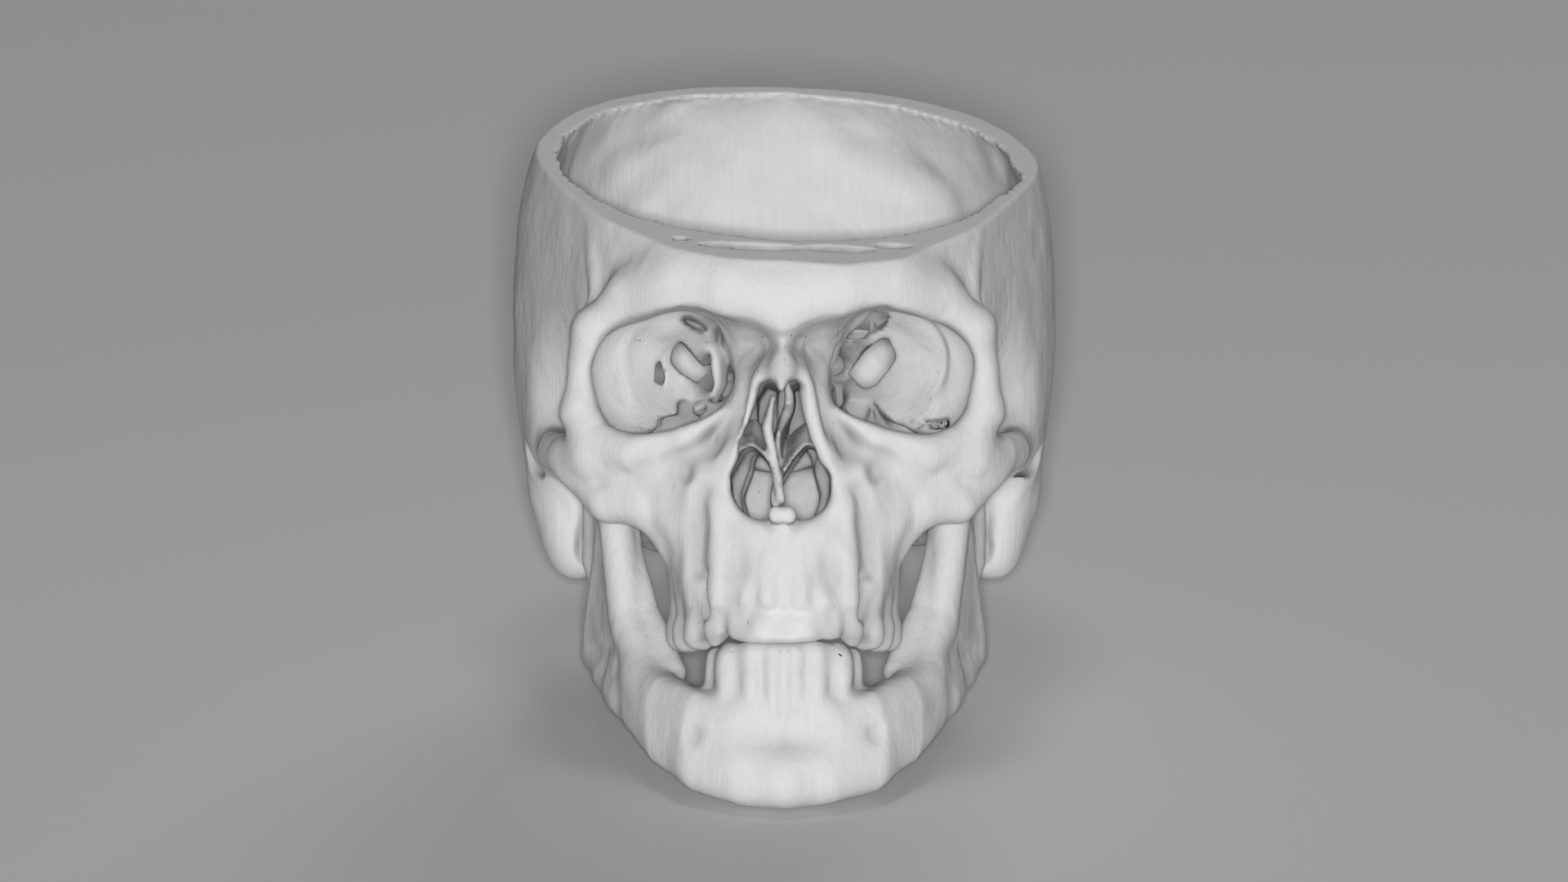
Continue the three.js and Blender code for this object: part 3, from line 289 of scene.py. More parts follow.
class Clay:
    """A grid of points with the distance to the surface at each."""

    def __init__(self, low, high, mirrored):
        self.low = np.array([STEP / 2 if mirrored else low[0], low[1], low[2]], float)
        counts = [int(np.ceil((h - l) / STEP)) + 1 for l, h in zip(self.low, high)]
        self.axes = [l + STEP * np.arange(n) for l, n in zip(self.low, counts)]
        self.value = np.full(counts, OPEN_AIR, np.float32)

    def places(self, cuts=(slice(None),) * 3):
        """The x, y and z of the grid's points, each along its own axis."""
        x, y, z = (axis[cut].astype(np.float32) for axis, cut in zip(self.axes, cuts))
        return x[:, None, None], y[None, :, None], z[None, None, :]

    def span(self, form, margin):
        """The slices of the grid near a form and the points there."""
        _, low, high = form
        ends = zip(self.axes, low - margin, high + margin)
        cuts = tuple(slice(*np.searchsorted(axis, [l, h])) for axis, l, h in ends)
        return cuts, self.places(cuts)

    def add(self, form, blend=BLEND):
        """Joins a form on."""
        cuts, points = self.span(form, blend + MARGIN)
        if self.value[cuts].size:
            self.value[cuts] = smaller(self.value[cuts], form[0](*points), blend)

    def cut(self, form, blend=BLEND):
        """Takes a form away."""
        cuts, points = self.span(form, blend + MARGIN)
        if self.value[cuts].size:
            self.value[cuts] = larger(self.value[cuts], -form[0](*points), blend)

    def unfold(self):
        """The other half of the head, mirrored."""
        self.value = np.concatenate([self.value[::-1], self.value])
        self.axes[0] = np.concatenate([-self.axes[0][::-1], self.axes[0]])
        self.low[0] = self.axes[0][0]

    def sway(self, amount, centre, reach):
        """Shifts the field sideways, most at a depth and height and less away from it."""
        back, up = self.axes[1][:, None], self.axes[2][None, :]
        share = np.exp(-((back - centre[0]) / reach[0]) ** 2 - ((up - centre[1]) / reach[1]) ** 2)
        count = self.value.shape[0]
        source = np.clip(np.arange(count)[:, None, None] - amount * share / STEP, 0, count - 1.001)
        cell = source.astype(np.int64)
        t = (source - cell).astype(np.float32)
        near, far = (np.take_along_axis(self.value, cell + k, 0) for k in (0, 1))
        self.value = near + t * (far - near)

    def soften(self, low, high, spread):
        """Evens the field out in a box, as wear does: each value becomes the mean of itself,
        twice, and its two neighbours along each axis, as often as the spread asks."""
        cuts = tuple(slice(*np.searchsorted(axis, [l, h])) for axis, l, h in zip(self.axes, low, high))
        block = self.value[cuts]
        for _ in range(max(1, round(2 * (spread / STEP) ** 2))):
            for axis in range(3):
                line = np.moveaxis(block, axis, 0)
                line[1:-1] = line[:-2] / 4 + line[1:-1] / 2 + line[2:] / 4

    def roughen(self, amount, size, seed, reach=3.0, where=None):
        """Noise added to the distance near the surface."""
        near = np.nonzero(np.abs(self.value) < reach)
        x, y, z = (axis[i] for axis, i in zip(self.axes, near))
        push = noise(x, y, z, size, seed) * amount
        if where is not None:
            push = push * where(x, y, z)
        self.value[near] += push.astype(np.float32)


# The brain case: an egg, flat below, hollowed by a smaller egg.
BASE_PROFILE = [
    (-100, 26), (-74, 26), (-58, 12), (-46, -3), (-6, -8), (14, -20), (36, -25), (52, -26), (66, -18),
    (80, -3), (95, 12),
]
HOLLOW_PROFILE = [
    (-95, 38), (-62, 36), (-47, 30), (-40, 6), (-14, 2), (-4, 6), (10, -9), (30, -17), (52, -17),
    (68, -8), (84, 16),
]
CASE_HEIGHT = 37.7  # of the egg's middle
CASE_ROUND = (2.32, 0.25)  # the egg's power and taper
THIN_WALL = 3.4
CUT_POINT = np.array([0, 0, 81.8])
CUT_NORMAL = np.array([np.sin(ROLL) * np.cos(TILT), -np.sin(TILT), np.cos(ROLL) * np.cos(TILT)])
TEMPLE_LINE = ((51.5, -66), (74.5, -2))  # across and back, from the brow's corner to the widest place


def floor_at(profile, y):
    """The height of a floor at a depth, from its profile."""
    back, up = zip(*profile)
    return np.interp(y, back, up).astype(np.float32)


def temple(x, y, z):
    """The distance to what is taken off at the temple: a flat side, and an egg below it."""
    (x0, y0), (x1, y1) = TEMPLE_LINE
    across = np.abs(x)
    flat = ((y - y0) * (x1 - x0) - (across - x0) * (y1 - y0)) / np.hypot(x1 - x0, y1 - y0)
    return smaller(egg((71, -48, 0), (23, 27, 32))[0](across, y, z), flat, 12)


def brain_case(clay):
    """The vault's wall, flat at the temples and hollow under them, and the floor of the skull."""
    outer, low, high = egg((0, -6, CASE_HEIGHT), (75.5, 87.5, 88.5), *CASE_ROUND)
    inner, _, _ = egg((0, -2, CASE_HEIGHT), (68.5, 76.5, 81.5), *CASE_ROUND)

    def shell(x, y, z):
        return larger(outer(x, y, z), floor_at(BASE_PROFILE, y) - z, 9)

    def hollow(x, y, z):
        within = larger(inner(x, y, z), floor_at(HOLLOW_PROFILE, y) - z, 9)
        return larger(within, THIN_WALL + 2 - temple(x, y, z), 4)

    clay.add((shell, low, high))
    clay.cut((temple, low, high), 9)
    clay.cut((hollow, low, high))


def skull_base(clay):
    """The sphenoid's body, the slope to the nape hole, the ridges of the ear bones, the mastoids
    and the pterygoid plates."""
    clay.add(egg((0, -34, 5), (14, 21, 13)))
    for corners in (((0, -20, 5), (10, -18, 4), (8, 1, -18)), ((0, -20, 5), (0, 3, -19), (8, 1, -18))):
        clay.add(plate(corners, 11))
    clay.add(bar((57, 12, 8, 8), (34, 0, 6, 7.2), (14, -14, 3, 4.8)))
    clay.add(bar((58, 6, -2, 9.6), (34, -4, -4, 8.8), (15, -13, -3, 6)))
    clay.add(bar((0, -44, 24, 4.8), (20, -43, 27, 4), (46, -50, 28, 4)))
    clay.add(egg((58, 13, -13), (9.6, 13, 20.5)), 7)
    clay.add(bar((57.5, 13, -14, 8.5), (55.5, 12, -27.5, 6.5)), 5)
    clay.add(bar((59, 17, -8, 9), (56, 32, -9, 7.5), (50, 44, -10, 5)), 8)
    clay.add(bar((60, -4, 2, 4.4), (61.8, 20, 3, 7.6)), 7)
    clay.add(plate(((50, -6, 3), (62.5, -17, 0.5), (60, 4, 3)), 6), 3)
    clay.add(bar((60, -24, -3, 5.5), (45, -22, -5, 5.5)))
    clay.add(egg((0, 79, 0), (10, 6, 7)), 9)
    clay.add(bar((0, 78, 0, 2.5), (30, 72, 2, 2.5), (56, 44, 2, 2.5)), 8)
    clay.add(bar((0, 62, -22, 1.6), (0, 78, -2, 2)), 5)
    clay.add(egg((17, 4, -26), (6, 11, 6.5)))
    clay.add(bar((13, -44, 4, 8), (14, -43, -26, 4)))
    clay.add(plate(((14, -45, 0), (20, -37, -5), (19, -38, -30)), 3.4))
    clay.add(plate(((13, -47, 0), (11, -38, -4), (12, -41, -32)), 3.4))
    clay.add(bar((46, -2, -8, 2.6), (44, -6, -24, 0.9)), 2)
    clay.add(bar((1.5, -16, 22, 2.2), (10, -17, 21, 2)), 4)


ORBIT = funnel((32, -68, 17.2), (15, -41, 19.5), (18.9, 15.5), (3.1, 2.9), 2.9, 13)


def face(clay):
    """Every part of the face but the septum and the teeth. The hollows come last."""
    for part in (brow, cheeks, nose_bones, upper_gum, face_hollows, nose_inside):
        part(clay)


def brow(clay):
    """The wall round each eye socket, whose front slants back by 16 mm over 41, the brow, the
    socket's outer rim and the ridge that runs up from it."""
    wall, low, high = grown(ORBIT, 3)

    def orbit_hull(x, y, z):
        return np.maximum(wall(x, y, z), -82 + (x - 12) * 16 / 41 - y)

    clay.add((orbit_hull, low, high), 2)
    clay.add(bar((0, -89, 35, 8.4), (14, -87.5, 38, 8.4), (28, -83.5, 40, 7.2)), 16)
    clay.add(bar((28, -83.5, 40, 7), (42, -76.5, 37.5, 6), (51, -70, 29, 5.2)), 7)
    clay.add(bar((5, -93, 36, 4.5), (16, -92.5, 40, 4.5), (27, -88, 42, 2.5)), 7)
    clay.add(bar((51, -70, 29, 5.2), (53.5, -67, 19, 4.7), (54, -67, 7, 4.8)))
    clay.add(bar((52.5, -67, 29, 2.6), (50.5, -64, 38, 2), (50, -61, 47, 1.6), (50, -56, 60, 1.4)), 4)


def cheeks(clay):
    """The upper jaw's bulk, the sockets' lower rims, the cheekbones and the cheek arches."""
    clay.add(egg((21, -70, -14), (16.5, 16.5, 20), 2.2))
    clay.add(bar(
        (16.5, -83.5, 6, 3.2), (27, -84, -1.5, 3.8), (40, -78, -4.5, 4.3), (50, -70, -1.5, 5.2),
        (54.5, -67, 7, 4.9),
    ))
    clay.add(plate(((33, -80, -5), (51, -69, 1), (38, -71, -18)), 7), 5)
    clay.add(plate(((51, -69, 1), (38, -71, -18), (56, -60, -8)), 7), 5)
    clay.add(bar((38, -70.5, -17.4, 6), (47, -66.5, -17.2, 6), (55, -59, -9, 5.2)))
    clay.add(bar((37, -71, -17, 4.6), (30, -69.5, -30, 3.4)))
    clay.add(bar((27.4, -83, -13, 3), (27, -79.5, -24, 3), (26.2, -76, -34, 2.6)), 4)
    clay.add(bar(
        (54, -62, -6, 5.2), (60, -49, -4, 4.6), (63, -34, -1.4, 4.6), (62.6, -18, 0.2, 4.8),
        (61, -2, 2, 5.4), flat=1.3,
    ))
    clay.add(bar((51, -68, -5, 5.8), (58, -57, -4, 5.4), (62.2, -46, -2.6, 4.4)), 4)


def nose_bones(clay):
    """The bridge, the sides of the nose down to its sill, and their thin plates."""
    clay.add(bar((0, -88, 27, 4.2), (0, -95.5, 18, 3.2), (0, -101.5, 11.5, 2.2)), 3)
    clay.add(bar(
        (4, -87, 27, 2.6), (5.4, -92, 16, 2.2), (8.2, -92, 4, 2.3), (13.4, -89.5, -8, 2.9),
        (15.2, -89, -19, 3.6),
    ), 2.5)
    clay.add(plate(((0, -89, 27), (0, -100.5, 12), (5.6, -92.5, 15)), 3))
    clay.add(plate(((5, -87, 26), (12.5, -80, 14), (8.2, -90.5, 4)), 3))
    clay.add(plate(((12.5, -80, 14), (8.2, -90.5, 4), (15.5, -87, -12)), 3.6))
    clay.add(bar((16, -89, -21, 3.8), (8, -91, -26.5, 3.6), (0, -93, -27, 3.6)))


def upper_gum(clay):
    """The upper tooth row's bone, the palate and the ridge over each tooth's root."""
    clay.add(band(
        (0, -92.5, -37, 12.5, 5.5), (9, -91.5, -37, 12.5, 5.5), (15.4, -88, -36.5, 12.5, 5.4),
        (22.5, -77, -35, 11.2, 6), (25, -66, -34, 11.2, 6.3), (26, -52, -34, 10, 6),
    ))
    clay.add(band(
        (0, -93.7, -46, 8, 3.7), (9, -92.4, -46, 8, 3.7), (15.8, -89, -46, 8, 3.7),
        (22.8, -78.5, -45, 7.5, 3.9), (25.4, -66, -44, 7.5, 4.2), (25.8, -53, -43, 7.5, 4.2),
    ), 3)
    clay.add(plate(((0, -88, -30), (22, -66, -30), (0, -50, -30)), 5))
    clay.add(plate(((22, -66, -30), (16, -49, -30), (0, -50, -30)), 5))
    for x, y, rise, r in (
        (4.6, -97, 13, 2.9), (11.8, -95.6, 14, 2.7), (17.2, -91.6, 23, 3.2), (23.6, -82, 20, 2.8),
        (26, -73.6, 19, 2.7), (27.4, -65.4, 18, 2.7), (27.6, -57.5, 17, 2.6),
    ):
        clay.add(bar((x, y, -45, r), (x - 0.6, y + 1.2, -45 + rise, 0.6 * r)), 1.6)


def face_hollows(clay):
    """The hollow of each cheek with the muzzle's ridge beside it, and the eye sockets."""
    clay.cut(egg((32.5, -92, -13), (6, 9, 9)), 9)
    clay.add(bar((20, -85.5, -12, 3.5), (20.8, -84, -26, 4.6), (21.6, -82.6, -38, 4.4)), 6)
    clay.cut(bar((22.8, -90.4, -16, 1), (23, -88.4, -27, 1.5), (23.2, -87.6, -37, 1)), 5)
    clay.cut(egg((12.5, -99, -36), (2.6, 4.5, 7)), 4)
    clay.cut(ORBIT, 2)


def nose_inside(clay):
    """The nose's opening and passages, the spine under it, the lower conchae and the dents
    beside the bridge."""
    clay.cut(passage([
        (3.6, 11.6, 2.4), (2, -2, 7.4), (1.2, -10.3, 12.4), (4.6, -14.2, 8.8),
    ], -120, -62), 2)
    clay.cut(window([(1, 14), (4.6, 15), (6.6, 11), (6.6, 5), (8, 0.6), (2, 1)], -90, -46), 1.5)
    clay.cut(passage([(0, -8, 7.7), (0, -15, 10.5)], -64, -34), 2)
    clay.add(bar((0, -91, -27, 3.2), (0, -96, -23.6, 2.2)), 2.5)
    clay.add(egg((1.7, -98.4, -22.5), (2.3, 2.6, 2.5)), 0.8)
    clay.add((scroll, np.array([0, -86, -14]), np.array([14, -54, 8])), 1.5)
    clay.cut(bar((10.8, -92.4, 21, 1.8), (12, -91.6, 6, 2.4), (16.4, -93.2, -8, 1.6)), 3)
    clay.cut(egg((10.5, -93, 24.5), (4.4, 6, 3.8)), 9)
    clay.cut(bar((0, -80, 33, 2.8), (0, -60, 31, 2.8)))


def scroll(x, y, z):
    """The lower concha: a mound whose under edge arches from the septum to the side wall, and
    whose top slopes up and back."""
    rise = z - np.interp(x, (0, 3.6, 7.4, 11.4, 14), (-12, -6.2, -2.6, -4.6, -9.5))
    return np.maximum(np.maximum(-rise, rise - 7), np.maximum(1.8 * rise - 82 - y, y + 58)) * 0.6


def septum(clay):
    """The thin wall between the two nose passages. It bows to one side and its front is worn."""
    def bowed(x, y, z):
        bow = 1.5 * np.sin((z + 2) / 8) - 0.8 * np.cos(z / 3)
        front = np.interp(z, (-27, -20, -8, 1, 9, 16), (-91, -85, -77, -80, -70, -76))
        depth = np.maximum(front - y, y + 49)
        return larger(np.abs(x - bow) - 0.8, np.maximum(depth, np.abs(z + 4) - 22), 0.8)

    clay.add((bowed, np.array([-5, -92, -30]), np.array([5, -48, 20])), 1)
    clay.add(bar((-2, -84, 10, 1), (-3.5, -82, 2, 1.6), (-1.5, -80, -7, 1.3), (0, -84, -18, 1.2)), 1.5)


def openings(clay):
    """The holes and fissures that nerves and vessels leave, and the hollow cheek."""
    clay.cut(egg((26, -68, -14), (9.5, 11, 10)), 2)
    clay.cut(bar((16, -76, -8, 3.5), (10, -70, -6, 3.2)), 2)
    clay.cut(bar((15, -46, 20.5, 2.3), (12, -32, 22, 2.3)), 1.5)
    clay.cut(bar((23, -58, 3, 1.6), (31, -63, 1, 2), (38, -67, -0.5, 1.9), (42, -69, -0.5, 1.3)), 1.5)
    clay.cut(egg((26, -87.5, -10.5), (1.7, 3.5, 2.2)), 3)
    clay.cut(bar((27, -90, 32.2, 1.7), (27, -82, 31, 2)), 1.5)
    clay.cut(egg((0, 20, -20), (15.5, 18, 30)), 2)
    clay.cut(bar((80, 1, -4, 4.5), (46, -5, -1, 3.8)), 2)
    clay.cut(bar((36, -22, 12, 3.5), (35, -24, -14, 3)), 2)
    clay.cut(bar((41, -14, 12, 1.6), (40, -15, -14, 1.6)), 1.5)
    clay.cut(bar((30, 10, 4, 4.2), (31, 8, -16, 4)), 2)
    clay.cut(bar((28, -6, -18, 3.4), (27, -10, 2, 3)), 2)
    clay.cut(bar((12, 12, -10, 2), (26, 6, -20, 2)), 1.5)
    clay.cut(bar((72, 14, -18, 1), (60, 13, -17, 0.8)), 1)
    clay.cut(egg((0, -33, 20), (8.5, 6, 6)), 3)


# Broken places in the thin walls of the eye sockets: the corners across and up, the depths
# between which the wall is gone, and how much of it still hangs there as strips.
BROKEN_WALLS = [
    ([
        (-30, 25.6), (-29, 28), (-27.3, 27.5), (-24.2, 23.8), (-21.6, 21), (-19.2, 22.5), (-19.1, 20),
        (-23.3, 15.3), (-27.8, 18.6), (-30.2, 21.8),
    ], -60, -35, -0.95),
    ([
        (-28.4, 32.2), (-26.4, 33.6), (-24.2, 32.6), (-20.8, 30.2), (-21.3, 28.3), (-24.2, 29.6),
        (-27, 30.6),
    ], -76, -42, -0.8),
    ([
        (-18.4, 29.5), (-16.6, 30), (-15, 25), (-14.2, 20), (-12.3, 16.6), (-14, 11.6), (-17.6, 8.3),
        (-20.4, 10), (-18.9, 15), (-18, 20.6), (-19, 25),
    ], -78, -42, -0.4),
    ([
        (-27.8, 9.8), (-25, 11.4), (-20.9, 10.5), (-18.8, 8.3), (-24.2, 2.9), (-27, 2.2), (-32.4, 2.8),
        (-32, 5.2), (-27.8, 6.3),
    ], -79, -50, -0.55),
    ([
        (-40.6, 8.6), (-38.6, 9), (-37, 5.8), (-34.2, 5.4), (-33, 3.6), (-36, 2.4), (-40.8, 2.8),
    ], -76, -56, 0.05),
    ([(-35, 15.6), (-33, 15.4), (-32.7, 18), (-34, 22), (-34.9, 20)], -64, -38, -0.9),
    ([
        (28.4, 27.7), (29.4, 23.4), (27.8, 20.5), (24.9, 15.6), (22, 14.4), (20, 15.6), (17.5, 18.7),
        (19, 20.9), (22.2, 24.6), (26, 27.5),
    ], -60, -35, -0.7),
    ([(17, 27.8), (18.9, 31.8), (24.9, 34.8), (27.9, 33.2), (25.8, 30.4), (21.6, 28)], -76, -42, -0.45),
    ([(12.8, 24), (14.8, 24.8), (15.9, 18), (16.8, 10), (14, 8), (12, 15.4)], -78, -42, -0.3),
    ([(17, 9.2), (21.3, 12), (26, 9.2), (28, 5.6), (29.6, 3.4), (26, 0.5), (18.9, 4.2)], -79, -50, -0.55),
    ([(34.4, 4.8), (37, 7.2), (41, 4.6), (45, 5.4), (45.6, 2.4), (38, 2.2)], -76, -56, -0.05),
]


def worn_walls(clay):
    """The thin walls at the back of each eye socket have broken away in patches and left thin
    strips, not alike on the two sides."""
    for seed, (corners, front, back, share) in enumerate(BROKEN_WALLS, 31):
        clay.cut(moth_eaten(window(corners, front, back), (2.6, 6, 9), share, seed), 0.6)
    clay.add(bar((22.6, -46, 24, 0.9), (24.6, -45, 19.5, 0.8), (27, -46, 16.5, 0.9)), 0.8)
    clay.add(bar(
        (-21, -50, 29, 1), (-17.6, -50, 24, 0.8), (-17, -50, 15, 0.7), (-19.6, -50, 9, 0.8),
    ), 0.8)


def brow_sinuses(clay):
    """The hollows in the brow that the saw has opened. They aren't alike on the two sides."""
    for centre, radii in (
        ((-9, -84.5, 49), (14, 2.8, 12)), ((14.5, -84, 50), (9.5, 2.6, 12)),
        ((29.5, -79.5, 52), (4.6, 2, 8)), ((-28, -80.5, 52), (1.8, 1.6, 5)),
    ):
        clay.cut(moth_eaten(egg(centre, radii), 9, -0.55, 41), 0.8)


CONDYLE = ((51, -12, -5.5), (9.5, 4.5, 4.5))
CONDYLE_NECK = [(50, -9, -30, 4.5), (50.5, -11, -13, 4.3)]


def jaw_joint(clay):
    """Clears the hollow for each condyle and the room behind its neck as the jaw drops."""
    clay.cut(grown(egg(*CONDYLE), 1.5), 2)
    clay.cut(grown(bar(*CONDYLE_NECK), 1.6), 2)
    clay.cut(plate((CONDYLE[0], CONDYLE_NECK[0][:3], (50, 2, -27.5)), 13.4), 2)


def joint_clearance(clay):
    """The same room once more, after the steps that leave the two sides unlike."""
    for side in (-1, 1):
        clay.cut(bar((side * 50, 2, -27, 7), (side * 50.5, -8, -13, 6.2)), 1)
        clay.cut(bar((side * 42.5, -12, -5.5, 5), (side * 58.5, -12, -5.5, 5)), 1)


def lower_jaw(clay):
    """Tooth-bearing body, chin, and on each side a branch with its two horns."""
    clay.add(band(
        (0, -87.5, -85, 13.6, 6.3), (12, -86.4, -84.4, 13.4, 6.5), (22.5, -80.6, -82, 13.2, 6.8),
        (31.5, -68.5, -76.6, 12.4, 6.8), (38, -55, -70, 10.4, 6.2), (43, -40, -65, 8.2, 4.8),
    ))
    clay.add(band(
        (0, -89.4, -67, 10, 3.4), (9, -87.8, -67, 10, 3.4), (14.6, -84.4, -67, 10, 3.6),
        (17.6, -77, -67, 8.5, 3.4),
    ), 3)
    clay.add(bar((0, -89, -93, 6), (10, -87.8, -92.2, 5.8), (20, -82, -88.6, 5.4)), 9)
    clay.add(bar((0, -91, -88, 2.6), (0, -92.6, -93.6, 3)), 8)
    clay.add(plate(((50, -9, -56), (45, -37, -12), (50, -11, -14)), 6.4))
    clay.add(plate(((50, -9, -56), (42, -44, -60), (45, -37, -12)), 6.4))
    clay.add(plate(((46.6, -37, -18), (42.5, -45, -50), (51, -14, -52)), 5), 5)
    clay.add(bar((46, -36, -7, 2), (46, -40, -23, 2.6), (42.5, -46, -47, 3.4), (36, -58, -66, 4.2)), 5)
    clay.add(bar(
        (42.5, -32, -9, 1.6), (40.8, -37, -28, 2.3), (37, -44, -46, 3.2), (30.5, -57, -63, 4),
    ), 3)
    clay.add(bar((50.5, -9, -56, 3.9), (47.5, -26, -63, 4.2), (42, -44, -69, 4.9)))
    clay.add(bar(*CONDYLE_NECK))
    clay.add(bar((41.5, -46, -52, 2.2), (38, -58, -66, 2), (31, -70, -76, 1.4)), 5)
    clay.cut(egg((49, -23, -5), (12, 8.5, 12)))
    clay.add(egg(*CONDYLE), 1)
    for x, y, drop in ((2.95, -92.3, 12), (8.8, -91, 13), (15.4, -87, 17), (18.8, -79.8, 14)):
        clay.add(bar((x, y + 0.6, -59.2, 2), (x, y, -66, 2.5), (x, y + 0.8, -65 - drop, 1.5)), 1.6)
    clay.cut(egg((0, -98, -80), (14, 5.5, 5)), 6)
    clay.cut(egg((24.6, -88.8, -80.5), (1.3, 2.4, 2.2)), 4)
    clay.cut(bar((38, -24, -34, 2), (46, -20, -42, 1.4)), 1.5)


# Teeth. A tooth is a stack of rounded sections, each row being its height (of the root below
# nought, of the crown above), its breadth and its depth, in shares of the tooth's own sizes.
TOOTH_FORMS = {
    "incisor": [
        (-1, 0.16, 0.18), (-0.5, 0.56, 0.66), (0, 0.92, 0.92), (0.45, 1.04, 0.78), (0.8, 1.04, 0.46),
        (1, 0.94, 0.24),
    ],
    "canine": [
        (-1, 0.16, 0.18), (-0.5, 0.62, 0.74), (0, 0.9, 0.96), (0.4, 1.04, 0.96), (0.75, 0.92, 0.62),
        (1, 0.3, 0.2),
    ],
    "premolar": [
        (-1, 0.18, 0.18), (-0.5, 0.6, 0.64), (0, 0.82, 0.82), (0.4, 1.06, 1.08), (0.8, 0.94, 0.92),
        (1, 0.5, 0.5),
    ],
    "molar": [
        (-1, 0.4, 0.4), (-0.5, 0.74, 0.74), (0, 0.84, 0.84), (0.4, 1.06, 1.08), (0.8, 0.94, 0.94),
        (1, 0.56, 0.56),
    ],
}
TOOTH_SIZE = (9, 8.4, 10.6, 11)  # breadth, depth, crown height and root length
TOOTH_POWER = 2.6  # how square its section is
FISSURE = (0.35, 1.1)  # depth and breadth of the groove along a back tooth's crown
GUM_BLEND = 1.6

# Across, back and up of the neck, turn and lean in degrees, and the shares of the four sizes.
UPPER_TEETH = {
    "central_incisor": ("incisor", 4.6, -94, -47, 3, 22, 1.01, 0.84, 1.02, 1),
    "lateral_incisor": ("incisor", 11.9, -92.2, -47, 16, 20, 0.72, 0.78, 0.96, 0.95),
    "canine": ("canine", 17.2, -88.4, -47, 40, 14, 0.74, 0.94, 1.06, 1.2),
    "first_premolar": ("premolar", 22, -80.6, -47, 64, 6, 0.72, 1.08, 1.06, 0.95),
    "second_premolar": ("premolar", 24.8, -73, -47, 76, 4, 0.72, 1.14, 1.12, 0.95),
    "first_molar": ("molar", 26.2, -63.6, -46.5, 82, 2, 1.06, 1.24, 1.08, 0.9),
    "second_molar": ("molar", 26, -53.4, -45.5, 84, 0, 0.98, 1.14, 1, 0.85),
}
LOWER_TEETH = {
    "central_incisor": ("incisor", 2.95, -89.6, -66, 3, 8, 0.64, 0.74, 0.92, 1),
    "lateral_incisor": ("incisor", 8.8, -88.3, -66, 14, 8, 0.66, 0.76, 0.92, 1),
    "canine": ("canine", 14, -84.6, -66, 38, 4, 0.74, 0.9, 0.96, 1.25),
    "first_premolar": ("premolar", 16.4, -78.4, -66.5, 62, 0, 0.7, 0.76, 0.8, 1.1),
}


def tooth(row, side, pointing):
    """One tooth: a squarish section about its own axis, whose half sizes run from row to row."""
    form, across, back, up, turn, lean, *shares = row
    breadth, depth, crown, root = (size * share for size, share in zip(TOOTH_SIZE, shares))
    heights = [h * (root if h < 0 else crown) for h, _, _ in TOOTH_FORMS[form]]
    wide = [w * breadth / 2 for _, w, _ in TOOTH_FORMS[form]]
    deep = [d * depth / 2 for _, _, d in TOOTH_FORMS[form]]
    t, l = np.radians(turn * side), np.radians(lean)
    neck = np.array([across * side, back, up])

    def distance(x, y, z):
        x, y, z = x - neck[0], y - neck[1], z - neck[2]
        u = x * np.cos(t) + y * np.sin(t)
        v = -x * np.sin(t) + y * np.cos(t)
        w = pointing * z * np.cos(l) - v * np.sin(l)
        v = v * np.cos(l) + pointing * z * np.sin(l)
        a = np.interp(w, heights, wide)
        b = np.interp(w, heights, deep)
        size = ((np.abs(u) / a) ** TOOTH_POWER + (np.abs(v) / b) ** TOOTH_POWER) ** (1 / TOOTH_POWER)
        groove = FISSURE[0] * np.exp(-((v / FISSURE[1]) ** 2)) if form in ("premolar", "molar") else 0
        ends = np.maximum(w - heights[-1] + groove, heights[0] - w)
        return larger((size - 1) * np.minimum(a, b) * 0.9, ends, 1.2)

    reach = max(crown, root) + 3
    return distance, neck - reach, neck + reach


# Each bone is what lies inside one or more convex regions, taken in this order. A region is a
# heart inside it and the planes that bound it, each through three places.
MIDLINE = ((0, 0, 0), (0, -50, 0), (0, 0, -50))
CROWN_SEAM = ((0, -22, 110), (50, -22, 110), (0, -44, 26))
NAPE_SEAM = ((0, 74, 64), (62, 46, 4), (0, 20, 20))
EAR_SEAM = ((60, -45, 29), (60, 10, 41), (40, -45, 29))


def across(x):
    """The plane at one distance across."""
    return (x, 0, 0), (x, -50, 0), (x, 0, -50)


def back(y):
    """The plane at one depth."""
    return (0, y, 0), (50, y, 0), (0, y, -50)


def up(z):
    """The plane at one height."""
    return (0, 0, z), (50, 0, z), (0, -50, z)


